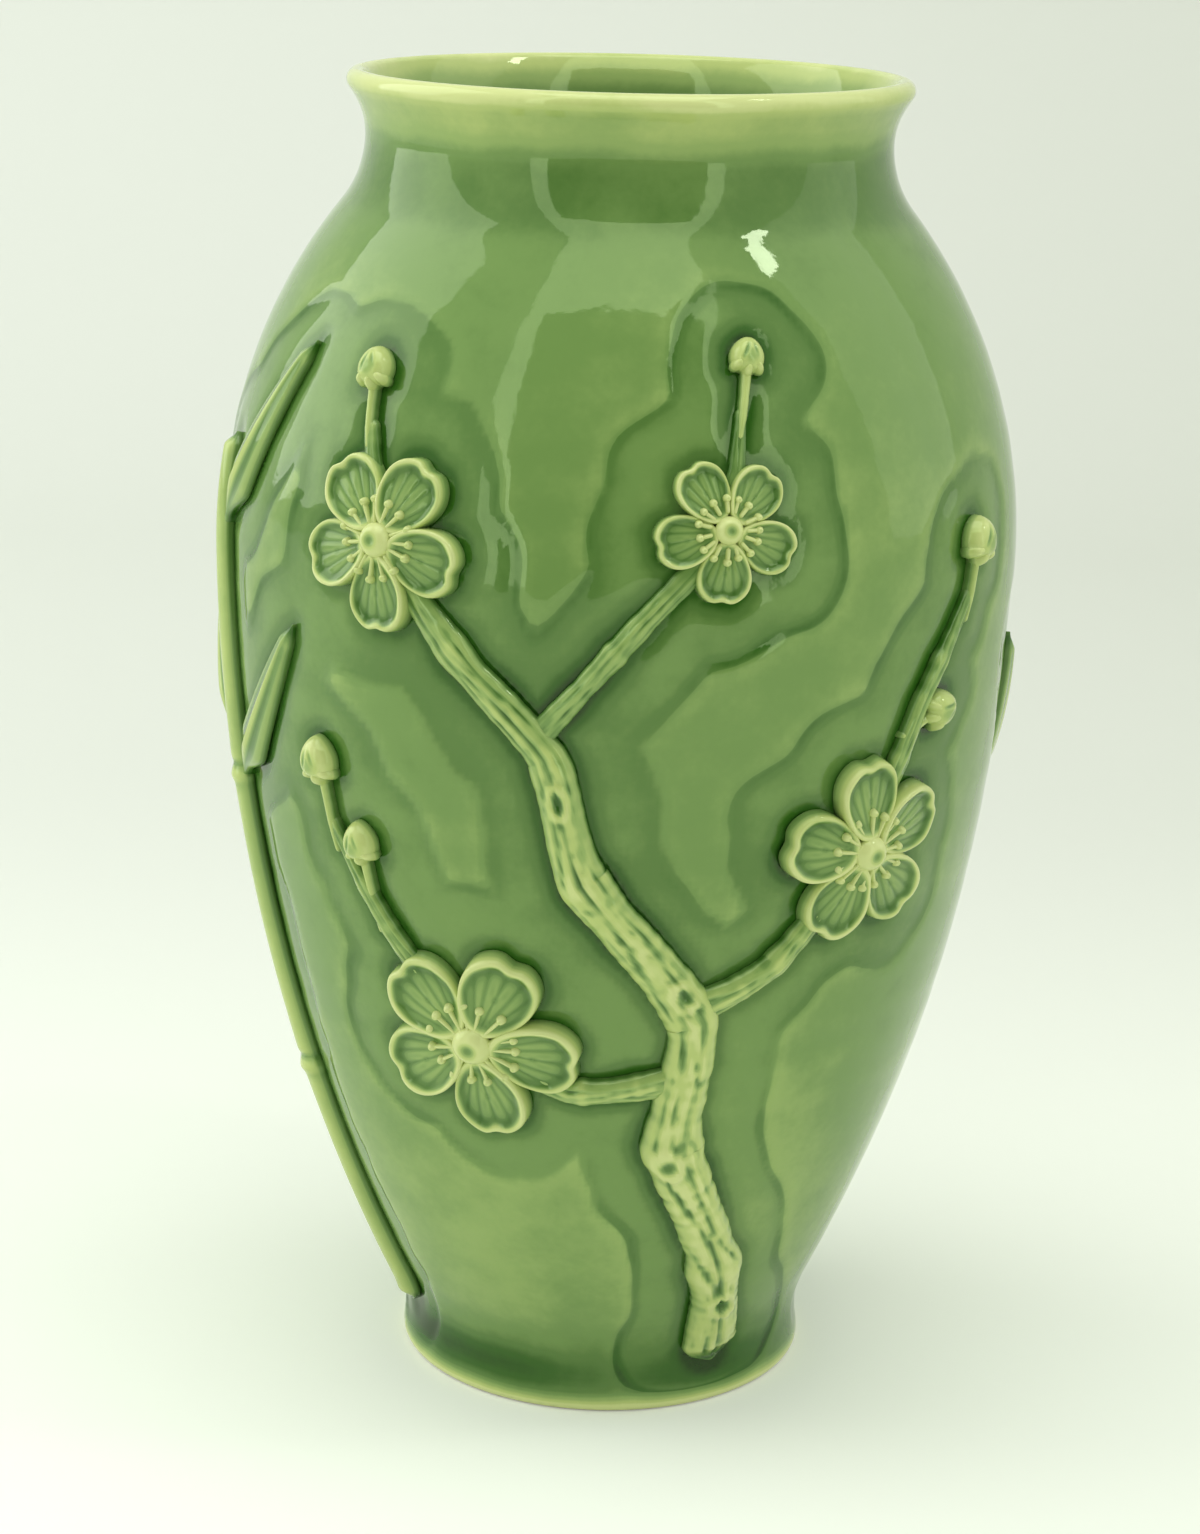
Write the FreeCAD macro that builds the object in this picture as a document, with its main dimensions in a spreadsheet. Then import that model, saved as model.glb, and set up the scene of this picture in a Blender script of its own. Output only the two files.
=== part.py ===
import FreeCAD, Part
import Sketcher

import math
import os

# A meiping vase: one thrown and turned pot with plum branches, blossoms, buds and bamboo in relief.
# Each relief piece is its own piece of clay, luted to the pot's outer face before glazing.
# Millimetres, +Z up. The origin is the centre of the foot ring's resting plane, and the front faces -Y.
# An azimuth of 0 is the front, and azimuths grow to the right as seen from the front.

doc = FreeCAD.newDocument("MeipingVase")

DIMENSIONS = [
    # the pot's outline
    # its height is stacked: the upright foot, up to the belly, up to the neck's waist, up to the lip's crest
    ("foot_height", 9.0),
    ("lower_body_height", 188.0),
    ("shoulder_height", 89.0),
    ("lip_height", 14.0),
    ("foot_radius", 47.8),
    ("foot_curve_radius", 30.0),
    ("belly_radius", 90.0),
    ("neck_radius", 58.6),
    ("neck_curve_radius", 23.7),
    ("flare_curve_radius", 17.0),
    # the pot's wall, foot ring and floor
    ("wall_thickness", 4.8),
    ("foot_edge_radius", 1.6),
    ("foot_ring_width", 8.0),
    ("foot_recess_depth", 4.0),
    ("floor_height", 11.0),
    ("floor_fillet_radius", 9.0),
    # how far each raw relief piece reaches under the pot's face before it is cut to seat there
    ("seat_depth", 2.6),
    # the plum branches
    ("trunk_half_width", 6.4),
    ("trunk_rise", 4.4),
    ("twig_half_width", 3.0),
    ("twig_rise", 2.4),
    # the blossoms
    ("blossom_radius", 22.0),
    ("petal_rim_rise", 3.4),
    ("petal_notch_rise", 1.2),
    ("hub_radius", 7.0),
    # how much clay the hub has over the wood that it sits on
    ("hub_cover", 0.8),
    ("centre_radius", 5.2),
    ("centre_rise", 2.6),
    # the buds
    ("bud_radius", 5.2),
    ("bud_rise", 4.4),
    # the bamboo
    ("culm_half_width", 4.4),
    ("culm_rise", 2.9),
    ("culm_ring_height", 3.2),
    ("culm_ring_overhang", 0.9),
    ("leaf_length", 58.0),
    ("leaf_half_width", 5.6),
    ("leaf_rise", 2.7),
    # how deep the notch between two petals is, as a share of the blossom's radius
    ("petal_notch_share", 0.45),
]

# How many straight stretches stand in for each arc of the pot's section, so that a pot this wide
# stays light to mesh. Their ends lie on the arcs. Between them the outer face is at most about 0.7 mm
# off the arcs, and the inner one, where no one looks close, about 2.6 mm.
STRETCH_COUNTS = {
    "edge": 1, "foot": 2, "lower": 4, "shoulder": 5, "neck": 3, "flare": 2,
    "lip_outer": 2, "lip_inner": 1,
    "flare_in": 1, "neck_in": 1, "shoulder_in": 2, "lower_in": 2, "fillet": 1,
}

sheet = doc.addObject("Spreadsheet::Sheet", "Sizes")
for row, (alias, value) in enumerate(DIMENSIONS, start=1):
    sheet.set(f"A{row}", alias)
    sheet.set(f"B{row}", str(value))
    sheet.setAlias(f"B{row}", alias)
doc.recompute()


def size(alias):
    """A driving dimension, read from the sheet."""
    return float(sheet.get(alias))


# The levels of the pot, each the sum of the heights stacked up to it
LEVELS = {"belly": ["foot_height", "lower_body_height"]}
LEVELS["neck"] = LEVELS["belly"] + ["shoulder_height"]
LEVELS["crest"] = LEVELS["neck"] + ["lip_height"]


def level(name):
    return sum(size(alias) for alias in LEVELS[name])


# The pot's outline: tangent arcs in the plane of radius and height

class GuideArc:
    """An arc of the pot's section, which bulges away from the axis (1) or towards it (-1)."""

    def __init__(self, centre_r, centre_z, radius, low_z, high_z, bulge):
        self.centre_r, self.centre_z, self.radius = centre_r, centre_z, radius
        self.low_z, self.high_z, self.bulge = low_z, high_z, bulge

    def at(self, height):
        """The arc's distance from the axis at a height."""
        return self.centre_r + self.bulge * math.sqrt(self.radius**2 - (height - self.centre_z) ** 2)

    def angle(self, height):
        """The direction from the arc's centre to its point at a height, in radians."""
        angle = math.atan2(height - self.centre_z, self.at(height) - self.centre_r)
        return angle if self.bulge > 0 else angle % (2 * math.pi)

    def geometry(self):
        return round_arc(self.centre_r, self.centre_z, self.radius,
                         *sorted((self.angle(self.low_z), self.angle(self.high_z))))

    def inside(self, wall, low_z, high_z):
        """The inner face's arc on the same centre, one wall nearer the axis."""
        return GuideArc(self.centre_r, self.centre_z, self.radius - self.bulge * wall, low_z, high_z, self.bulge)


def round_arc(centre_r, centre_z, radius, first_angle, last_angle):
    circle = Part.Circle(FreeCAD.Vector(centre_r, centre_z, 0), FreeCAD.Vector(0, 0, 1), radius)
    return Part.ArcOfCircle(circle, first_angle, last_angle)


def outer_arcs():
    """The outer arcs from foot to lip.

    The lower and the shoulder arc both stand upright at the belly. Their radii follow from being
    tangent to the foot's and to the neck's arc.
    """
    belly_r, belly_z = size("belly_radius"), level("belly")
    foot_r, foot_z, foot_arc = size("foot_radius"), size("foot_height"), size("foot_curve_radius")
    neck_r, neck_z, neck_arc = size("neck_radius"), level("neck"), size("neck_curve_radius")
    flare_arc, half_wall = size("flare_curve_radius"), size("wall_thickness") / 2

    def tangent_radius(end_r, end_arc, rise):
        offset = end_r + end_arc - belly_r
        return (offset**2 + rise**2 - end_arc**2) / (2 * (end_arc - offset))

    lower_arc = tangent_radius(foot_r, foot_arc, belly_z - foot_z)
    shoulder_arc = tangent_radius(neck_r, neck_arc, neck_z - belly_z)
    foot_join = foot_z + (belly_z - foot_z) * foot_arc / (foot_arc + lower_arc)
    neck_join = neck_z - (neck_z - belly_z) * neck_arc / (neck_arc + shoulder_arc)
    lip_z = level("crest") - half_wall
    flare_end = neck_z + (lip_z - neck_z) * flare_arc / (flare_arc + half_wall)
    return {
        "foot": GuideArc(foot_r + foot_arc, foot_z, foot_arc, foot_z, foot_join, -1),
        "lower": GuideArc(belly_r - lower_arc, belly_z, lower_arc, foot_join, belly_z, 1),
        "shoulder": GuideArc(belly_r - shoulder_arc, belly_z, shoulder_arc, belly_z, neck_join, 1),
        "neck": GuideArc(neck_r + neck_arc, neck_z, neck_arc, neck_join, neck_z, -1),
        "flare": GuideArc(neck_r + flare_arc, neck_z, flare_arc, neck_z, flare_end, -1),
    }


OUTER = outer_arcs()


def section_guides():
    """Every arc of the pot's section as sketch geometry, by name, from foot to lip and down inside."""
    wall, edge, fillet = size("wall_thickness"), size("foot_edge_radius"), size("floor_fillet_radius")
    foot_r, floor_z = size("foot_radius"), size("floor_height")
    lip_z, flare = level("crest") - wall / 2, OUTER["flare"]
    lip_r = flare.centre_r - math.sqrt((flare.radius + wall / 2) ** 2 - (lip_z - flare.centre_z) ** 2)
    lip_angle = math.atan2(flare.high_z - lip_z, flare.at(flare.high_z) - lip_r)

    shoulder, neck, lower = OUTER["shoulder"], OUTER["neck"], OUTER["lower"]
    inner_share = (shoulder.radius - wall) / (shoulder.radius + neck.radius)
    inner_join = shoulder.centre_z + (neck.centre_z - shoulder.centre_z) * inner_share
    fillet_z = floor_z + fillet
    fillet_r = lower.centre_r + math.sqrt((lower.radius - wall - fillet) ** 2 - (fillet_z - lower.centre_z) ** 2)
    fillet_angle = math.atan2(fillet_z - lower.centre_z, fillet_r - lower.centre_r)
    fillet_end = fillet_z + fillet * math.sin(fillet_angle)
    guides = {"edge": round_arc(foot_r - edge, edge, edge, -math.pi / 2, 0)}
    guides.update({name: arc.geometry() for name, arc in OUTER.items()})
    guides["lip_outer"] = round_arc(lip_r, lip_z, wall / 2, lip_angle, math.pi / 2)
    guides["lip_inner"] = round_arc(lip_r, lip_z, wall / 2, math.pi / 2, lip_angle + math.pi)
    guides["flare_in"] = flare.inside(wall, flare.centre_z, 2 * lip_z - flare.high_z).geometry()
    guides["neck_in"] = neck.inside(wall, inner_join, neck.centre_z).geometry()
    guides["shoulder_in"] = shoulder.inside(wall, shoulder.centre_z, inner_join).geometry()
    guides["lower_in"] = lower.inside(wall, fillet_end, lower.centre_z).geometry()
    guides["fillet"] = round_arc(fillet_r, fillet_z, fillet, -math.pi / 2, fillet_angle)
    return guides


START, END, CENTRE = range(1, 4)

# The guide arcs in the order of the section, each with the end where the section enters it
SECTION_ORDER = [
    ("edge", START), ("foot", END), ("lower", START), ("shoulder", START), ("neck", END), ("flare", END),
    ("lip_outer", START), ("lip_inner", START),
    ("flare_in", START), ("neck_in", START), ("shoulder_in", END), ("lower_in", END), ("fillet", END),
]


def constrain(sketch, *parts):
    return sketch.addConstraint(Sketcher.Constraint(*parts))


def bind(sketch, formula, *parts):
    """A measured constraint that follows a formula on the sheet's cells."""
    index = constrain(sketch, *parts)
    sketch.setExpression(f"Constraints[{index}]", formula)


def pin_guides(sketch, at):
    """Tie the guide arcs to each other and to the sheet. What at gives is a geometry's number by its name."""
    for first, first_end, second, second_end in (
        ("foot", START, "lower", START), ("shoulder", END, "neck", END), ("flare", START, "lip_outer", START),
        ("lip_inner", END, "flare_in", START), ("neck_in", END, "shoulder_in", END),
        ("lower_in", START, "fillet", END),
    ):
        constrain(sketch, "Tangent", at[first], first_end, at[second], second_end)
    for first, first_end, second, second_end in (
        ("lower", END, "shoulder", START), ("neck", START, "flare", END), ("lip_outer", END, "lip_inner", START),
        ("flare_in", END, "neck_in", START), ("shoulder_in", START, "lower_in", END),
        ("lip_outer", CENTRE, "lip_inner", CENTRE), ("flare_in", CENTRE, "flare", CENTRE),
        ("neck_in", CENTRE, "neck", CENTRE), ("shoulder_in", CENTRE, "shoulder", CENTRE),
        ("lower_in", CENTRE, "lower", CENTRE),
    ):
        constrain(sketch, "Coincident", at[first], first_end, at[second], second_end)
    constrain(sketch, "Vertical", at["lip_outer"], END, at["lip_outer"], CENTRE)

    wall = size("wall_thickness")
    for name, place, radius, formula in (
        ("lower", END, size("belly_radius"), "Sizes.belly_radius"),
        ("neck", START, size("neck_radius"), "Sizes.neck_radius"),
        ("neck_in", START, size("neck_radius") - wall, "Sizes.neck_radius - Sizes.wall_thickness"),
    ):
        bind(sketch, formula, "DistanceX", at[name], place, radius)
    for name, place, level_name in (
        ("lower", END, "belly"), ("lower", CENTRE, "belly"), ("shoulder", CENTRE, "belly"),
        ("lower_in", END, "belly"), ("neck", START, "neck"), ("neck", CENTRE, "neck"),
        ("flare", CENTRE, "neck"), ("neck_in", START, "neck"), ("lip_outer", END, "crest"),
    ):
        formula = " + ".join(f"Sizes.{alias}" for alias in LEVELS[level_name])
        bind(sketch, formula, "DistanceY", at[name], place, level(level_name))
    for name, alias in (
        ("edge", "foot_edge_radius"), ("foot", "foot_curve_radius"), ("neck", "neck_curve_radius"),
        ("flare", "flare_curve_radius"), ("fillet", "floor_fillet_radius"),
    ):
        bind(sketch, f"Sizes.{alias}", "Radius", at[name], size(alias))


def draw_foot_and_floor(sketch, at):
    """The section's true straight lines: the foot ring, its recess, the floor and the axis."""
    ring_r, foot_r = size("foot_radius") - size("foot_ring_width"), size("foot_radius")
    recess, floor_z, edge = size("foot_recess_depth"), size("floor_height"), size("foot_edge_radius")
    foot_z, fillet = size("foot_height"), sketch.Geometry[at["fillet"]]
    corners = {
        "recess": ((0, recess), (ring_r, recess)),
        "ring_wall": ((ring_r, recess), (ring_r, 0)),
        "resting": ((ring_r, 0), (foot_r - edge, 0)),
        "foot_wall": ((foot_r, edge), (foot_r, foot_z)),
        "floor": ((fillet.StartPoint.x, floor_z), (0, floor_z)),
        "axis": ((0, floor_z), (0, recess)),
    }
    for name, ends in corners.items():
        first, last = [FreeCAD.Vector(x, y, 0) for x, y in ends]
        at[name] = sketch.addGeometry(Part.LineSegment(first, last), False)
    for first, second in (("recess", "ring_wall"), ("ring_wall", "resting"), ("floor", "axis"), ("axis", "recess")):
        constrain(sketch, "Coincident", at[first], END, at[second], START)
    constrain(sketch, "Tangent", at["resting"], END, at["edge"], START)
    constrain(sketch, "Tangent", at["edge"], END, at["foot_wall"], START)
    constrain(sketch, "Tangent", at["foot_wall"], END, at["foot"], END)
    constrain(sketch, "Tangent", at["fillet"], START, at["floor"], START)
    for name in ("recess", "resting", "floor"):
        constrain(sketch, "Horizontal", at[name])
    for name in ("ring_wall", "foot_wall", "axis"):
        constrain(sketch, "Vertical", at[name])
    vertical_axis, horizontal_axis = -2, -1
    constrain(sketch, "PointOnObject", at["axis"], START, vertical_axis)
    constrain(sketch, "PointOnObject", at["resting"], START, horizontal_axis)
    bind(sketch, "Sizes.foot_recess_depth", "DistanceY", at["recess"], START, recess)
    bind(sketch, "Sizes.floor_height", "DistanceY", at["floor"], END, floor_z)
    bind(sketch, "Sizes.foot_radius - Sizes.foot_ring_width", "DistanceX", at["resting"], START, ring_r)
    bind(sketch, "Sizes.foot_radius", "DistanceX", at["foot_wall"], END, foot_r)
    bind(sketch, "Sizes.foot_height", "DistanceY", at["foot_wall"], END, foot_z)


def draw_stretches(sketch, arc_number, entry, count):
    """Equal straight stretches between points on a guide arc, from the end where the section enters it."""
    arc = sketch.Geometry[arc_number]
    first, last = arc.FirstParameter, arc.LastParameter
    angles = [first + (last - first) * step / count for step in range(count + 1)]
    if entry == END:
        angles.reverse()
    leave = START if entry == END else END
    points = [arc.value(angle) for angle in angles]
    lines = [sketch.addGeometry(Part.LineSegment(a, b), False) for a, b in zip(points, points[1:])]
    constrain(sketch, "Coincident", lines[0], START, arc_number, entry)
    constrain(sketch, "Coincident", lines[-1], END, arc_number, leave)
    for before, after in zip(lines, lines[1:]):
        constrain(sketch, "Coincident", before, END, after, START)
        constrain(sketch, "PointOnObject", before, END, arc_number)
        constrain(sketch, "Equal", lines[0], after)


def origin_plane(body, role):
    return next(feature for feature in body.Origin.OriginFeatures if feature.Role == role)


def make_pot():
    """The pot, revolved from its section: thrown wall, rounded lip, floor and turned foot ring."""
    body = doc.addObject("PartDesign::Body", "vase_body")
    sketch = body.newObject("Sketcher::SketchObject", "pot_section")
    sketch.AttachmentSupport = (origin_plane(body, "XZ_Plane"), "")
    sketch.MapMode = "FlatFace"
    at = {name: sketch.addGeometry(arc, True) for name, arc in section_guides().items()}
    pin_guides(sketch, at)
    draw_foot_and_floor(sketch, at)
    for name, entry in SECTION_ORDER:
        draw_stretches(sketch, at[name], entry, STRETCH_COUNTS[name])
    doc.recompute()
    turned = body.newObject("PartDesign::Revolution", "thrown_wall")
    turned.Profile = sketch
    turned.ReferenceAxis = (sketch, ["V_Axis"])
    turned.Angle = 360.0
    body.Tip = turned
    doc.recompute()
    return body



pot = make_pot()


# Places on the pot's outer face

class Spot:
    """A place on the pot's outer face: its point, and the directions outwards, to the right and up there."""

    def __init__(self, azimuth, height):
        self.azimuth, self.height = azimuth, max(height, 0.0)
        self.radius, radial, upward = self.face_at(self.height)
        angle = math.radians(azimuth)
        away = FreeCAD.Vector(math.sin(angle), -math.cos(angle), 0)
        self.point = away * self.radius + FreeCAD.Vector(0, 0, self.height)
        self.out = away * radial + FreeCAD.Vector(0, 0, upward)
        self.right = FreeCAD.Vector(math.cos(angle), math.sin(angle), 0)
        self.up = self.out.cross(self.right)

    @staticmethod
    def face_at(height):
        """The face's distance from the axis and its outward direction, as radial and upward parts."""
        for arc in OUTER.values():
            if arc.low_z < height <= arc.high_z:
                angle = arc.angle(height)
                return arc.at(height), arc.bulge * math.cos(angle), arc.bulge * math.sin(angle)
        return size("foot_radius"), 1.0, 0.0

    def place(self, along_right, along_up, rise):
        """A point beside this spot in its own flat frame."""
        return self.point + self.right * along_right + self.up * along_up + self.out * rise


def spot_at(azimuth, height_share):
    return Spot(azimuth, height_share * level("crest"))


def spot_beside(spot, along_right, along_up):
    """The spot on the face a short way to the right and up from another."""
    height = spot.height + along_up * spot.up.z
    radius = (spot.radius + Spot.face_at(height)[0]) / 2
    return Spot(spot.azimuth + math.degrees(along_right / radius), height)


# Raw relief pieces: faceted lofts that follow the face, each seated on it by one cut

def flat_faces(points):
    """The flat faces that fill an outline of four points: two where the four aren't level."""
    normal = (points[1] - points[0]).cross(points[2] - points[0]).normalize()
    if len(points) == 4 and abs(normal.dot(points[3] - points[0])) > FreeCAD.Base.Precision.confusion():
        return flat_faces(points[:3]) + flat_faces([points[0], points[2], points[3]])
    return [Part.Face(Part.makePolygon(points + points[:1]))]


def faceted_loft(sections, root=None):
    """A solid through closed sections with equal numbers of points, with flat facets between them.

    The last section is flat. So is the first, unless a root point is given, which its edges then run to.
    """
    faces = [Part.Face(Part.makePolygon(sections[-1] + sections[-1][:1]))]
    if root is None:
        faces.append(Part.Face(Part.makePolygon(sections[0] + sections[0][:1])))
    for index, corner in enumerate(sections[0]):
        if root is not None:
            faces += flat_faces([root, corner, sections[0][(index + 1) % len(sections[0])]])
    for low, high in zip(sections, sections[1:]):
        for index, corner in enumerate(low):
            following = (index + 1) % len(low)
            faces += flat_faces([corner, low[following], high[following], high[index]])
    return Part.makeSolid(Part.makeShell(faces))


def seat(label, solids, under=()):
    """A relief piece: its raw clay, less the pot's wall and what lies under it, as labelled cuts."""
    raw = doc.addObject("Part::Feature", f"{label}_raw")
    raw.Shape = solids[0] if len(solids) == 1 else Part.makeCompound(solids)
    piece = raw
    for tool in (pot, *under):
        cut = doc.addObject("Part::Cut", f"{label}_on_{tool.Name}")
        cut.Base, cut.Tool = piece, tool
        piece = cut
    piece.Label = label
    doc.recompute()
    return piece


# How much of its rise a straight span may lose to the wall's curve before it gets one more station halfway
LOST_RISE_SHARE = 0.5


def bridged(stations, rise):
    """The stations of a strip, with more of them where the wall would come near a straight span's top."""
    spans = []
    for (first, first_share), (last, last_share) in zip(stations, stations[1:]):
        girth_share = (first_share + last_share) / 2
        halfway = Spot((first.azimuth + last.azimuth) / 2, (first.height + last.height) / 2)
        lost = (halfway.point - (first.point + last.point) / 2).dot(halfway.out)
        span = [(first, first_share), (last, last_share)]
        if lost > LOST_RISE_SHARE * rise * girth_share:
            span.insert(1, (halfway, girth_share))
            span = bridged(span, rise)
        spans += span[:-1]
    return spans + stations[-1:]


def strip_sections(stations, half_width, rise, profile_shares):
    """Sections across a strip that lies along spots. A section is its profile's shares of width and rise."""
    sections = []
    stations = bridged(stations, rise)
    for index, (spot, girth_share) in enumerate(stations):
        before, after = stations[max(index - 1, 0)][0], stations[min(index + 1, len(stations) - 1)][0]
        side = (after.point - before.point).cross(spot.out).normalize() * (half_width * girth_share)
        lift = spot.out * (rise * girth_share)
        top = [spot.point + side * across + lift * up for across, up in profile_shares]
        root = [spot.point + side * across - spot.out * size("seat_depth") for across in (1, -1)]
        sections.append(top + root)
    return sections


BRANCH_PROFILE_SHARES = [(-1.0, 0.15), (-0.55, 0.85), (0.35, 1.0), (1.0, 0.15)]
CULM_PROFILE_SHARES = [(-1.0, 0.15), (-0.5, 0.95), (0.5, 0.95), (1.0, 0.15)]


def make_branch(label, path_shares, thick, under=()):
    """A length of plum wood, straight-sided between its knuckles, wrapped on the pot."""
    stations = [(spot_at(azimuth, height_share), girth_share) for azimuth, height_share, girth_share in path_shares]
    sections = strip_sections(stations, size(f"{thick}_half_width"), size(f"{thick}_rise"), BRANCH_PROFILE_SHARES)
    return seat(label, [faceted_loft(sections)], under)


def azimuth_on(path_shares, height_share):
    """The azimuth at which a path of azimuths and height shares passes a height share for the first time."""
    for (azimuth, low_share, *_), (next_azimuth, high_share, *_) in zip(path_shares, path_shares[1:]):
        if low_share <= height_share <= high_share:
            along_share = (height_share - low_share) / (high_share - low_share)
            return azimuth + (next_azimuth - azimuth) * along_share


def make_culm(label, path_shares, joint_shares):
    """A bamboo culm: a smooth half-round strip that steps out in a ring at each joint."""
    (_, low_share), (_, high_share) = path_shares
    height, ring = level("crest"), size("culm_ring_height")
    step_share = 1 + size("culm_ring_overhang") / size("culm_half_width")
    marks = [(low_share * height, 1.0), (high_share * height, 0.8)]
    for joint_share in joint_shares:
        middle = joint_share * height
        marks += [(middle - ring / 2, 1.0), (middle, step_share), (middle + ring / 2, 1.0)]
    for low, high in zip((low_share, *joint_shares), (*joint_shares, high_share)):
        marks.append(((low + high) / 2 * height, 0.95))
    # the ends' own shares are kept just inside the path, whatever their rounding
    stations = []
    for mark, girth_share in sorted(marks):
        height_share = min(max(mark / height, low_share), high_share)
        stations.append((spot_at(azimuth_on(path_shares, height_share), height_share), girth_share))
    sections = strip_sections(stations, size("culm_half_width"), size("culm_rise"), CULM_PROFILE_SHARES)
    return seat(label, [faceted_loft(sections)])


# A leaf's stations: how far along it each is, and its width and rise there
LEAF_SHARES = [(0.0, 0.14), (0.3, 0.95), (0.62, 0.9), (1.0, 0.07)]
LEAF_PROFILE_SHARES = [(-1.0, 0.3), (0.0, 1.0), (1.0, 0.3)]


def make_leaf(label, azimuth, height_share, heading, under=()):
    """A slender bamboo leaf with a ridge down its middle. Its heading is in degrees, 0 to the right and 90 up."""
    base, length = spot_at(azimuth, height_share), size("leaf_length")
    turn = math.radians(heading)
    stations = []
    for along_share, width_share in LEAF_SHARES:
        reach = length * along_share
        stations.append((spot_beside(base, reach * math.cos(turn), reach * math.sin(turn)), width_share))
    sections = strip_sections(stations, size("leaf_half_width"), size("leaf_rise"), LEAF_PROFILE_SHARES)
    return seat(label, [faceted_loft(sections)], under)


def raw_blossom(spot, first_heading, blossom_share, hub_rise):
    """A press-moulded blossom in one piece: five rounded petals with raised rims round a flat hub."""
    reach, hub = size("blossom_radius") * blossom_share, size("hub_radius") * blossom_share
    rim, low = size("petal_rim_rise"), size("petal_notch_rise")
    petals, steps_per_petal = 5, 4
    root, edge, flat = [], [], []
    for step in range(petals * steps_per_petal):
        turn = 2 * math.pi * step / (petals * steps_per_petal)
        lobe_share = math.sqrt(abs(math.sin(turn * petals / 2)))
        heading = turn + math.radians(first_heading)
        out_to = reach * (1 - size("petal_notch_share") * (1 - lobe_share))
        place = spot_beside(spot, out_to * math.cos(heading), out_to * math.sin(heading))
        root.append(place.point - spot.out * size("seat_depth"))
        edge.append(place.point + spot.out * (low + (rim - low) * lobe_share))
        flat.append(spot.place(hub * math.cos(heading), hub * math.sin(heading), hub_rise))
    return faceted_loft([root, edge, flat], spot.point - spot.out * size("seat_depth"))


def raw_button(spot, radius, low, high, sides=8):
    """A low round button with a bevelled top, between two rises over the face."""
    sections = []
    for rise, share in ((low, 1.0), (low + (high - low) * 0.6, 1.0), (high, 0.55)):
        turns = [2 * math.pi * step / sides for step in range(sides)]
        sections.append([spot.place(radius * share * math.cos(t), radius * share * math.sin(t), rise) for t in turns])
    return faceted_loft(sections)


def make_blossom(number, station, thick, first_heading, blossom_share, wood):
    """A plum blossom over a knuckle of its wood: the moulded petals, and the button pressed on their flat hub."""
    azimuth, height_share, girth_share = station
    spot, hub_rise = spot_at(azimuth, height_share), size(f"{thick}_rise") * girth_share + size("hub_cover")
    petals = seat(f"blossom_{number}_petals", [raw_blossom(spot, first_heading, blossom_share, hub_rise)], [wood])
    centre = doc.addObject("Part::Feature", f"blossom_{number}_centre")
    radius = size("centre_radius") * blossom_share
    centre.Shape = raw_button(spot, radius, hub_rise, hub_rise + size("centre_rise"))
    return [petals, centre]


def make_buds(label, bud_shares, under=()):
    """Closed buds on one twig: low domes, each pressed on beside it."""
    domes = []
    for azimuth, height_share, bud_share in bud_shares:
        radius, rise = size("bud_radius") * bud_share, size("bud_rise") * bud_share
        domes.append(raw_button(spot_at(azimuth, height_share), radius, -size("seat_depth"), rise, sides=7))
    return seat(label, domes, under)


# The relief's layout. Each path point is azimuth in degrees, height share and girth share.

FRONT_TRUNK_SHARES = [
    (33, 0.035, 1.05), (26, 0.13, 0.95), (12, 0.25, 1.0), (13, 0.36, 0.85), (-4, 0.47, 0.8),
    (-9, 0.56, 0.65), (-22, 0.63, 0.55), (-33, 0.70, 0.5), (-38, 0.78, 0.34),
]
LOW_TWIG_SHARES = [(-6, 0.30, 1.0), (-21, 0.335, 0.95), (-34, 0.41, 0.8), (-44, 0.49, 0.6)]
RIGHT_TWIG_SHARES = [(25, 0.40, 1.05), (38, 0.48, 0.95), (46, 0.58, 0.8), (57, 0.66, 0.55)]
TOP_TWIG_SHARES = [(3, 0.655, 0.9), (14, 0.72, 0.8), (17, 0.80, 0.5)]
LEFT_CULM_SHARES = [(-68, 0.045), (-76, 0.74)]
RIGHT_CULM_SHARES = [(98, 0.045), (106, 0.70)]


def from_trunk(height_share, girth_share, twig_shares):
    """A twig's path, which starts on the trunk's own middle line at a height."""
    return [(azimuth_on(FRONT_TRUNK_SHARES, height_share), height_share, girth_share), *twig_shares]


def make_plum():
    trunk = make_branch("plum_trunk", FRONT_TRUNK_SHARES, "trunk")
    low = make_branch("plum_twig_low", from_trunk(0.31, 1.2, LOW_TWIG_SHARES), "twig", [trunk])
    right = make_branch("plum_twig_right", from_trunk(0.365, 1.2, RIGHT_TWIG_SHARES), "twig", [trunk])
    top = make_branch("plum_twig_top", from_trunk(0.57, 0.85, TOP_TWIG_SHARES), "twig", [trunk])
    pieces = [trunk, low, right, top]
    pieces += make_blossom(1, LOW_TWIG_SHARES[1], "twig", 100, 1.12, low)
    pieces += make_blossom(2, RIGHT_TWIG_SHARES[1], "twig", 60, 1.0, right)
    pieces += make_blossom(3, FRONT_TRUNK_SHARES[-2], "trunk", 20, 0.92, trunk)
    pieces += make_blossom(4, TOP_TWIG_SHARES[1], "twig", 85, 0.72, top)
    pieces.append(make_buds("buds_low_twig", [(-38, 0.475, 0.9), (-45, 0.53, 1.0)], [low]))
    pieces.append(make_buds("buds_right_twig", [(50, 0.575, 0.9), (58, 0.69, 1.0)], [right]))
    pieces.append(make_buds("buds_top", [(18.5, 0.83, 0.8), (-39, 0.81, 0.9)], [top, trunk]))
    return pieces


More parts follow.
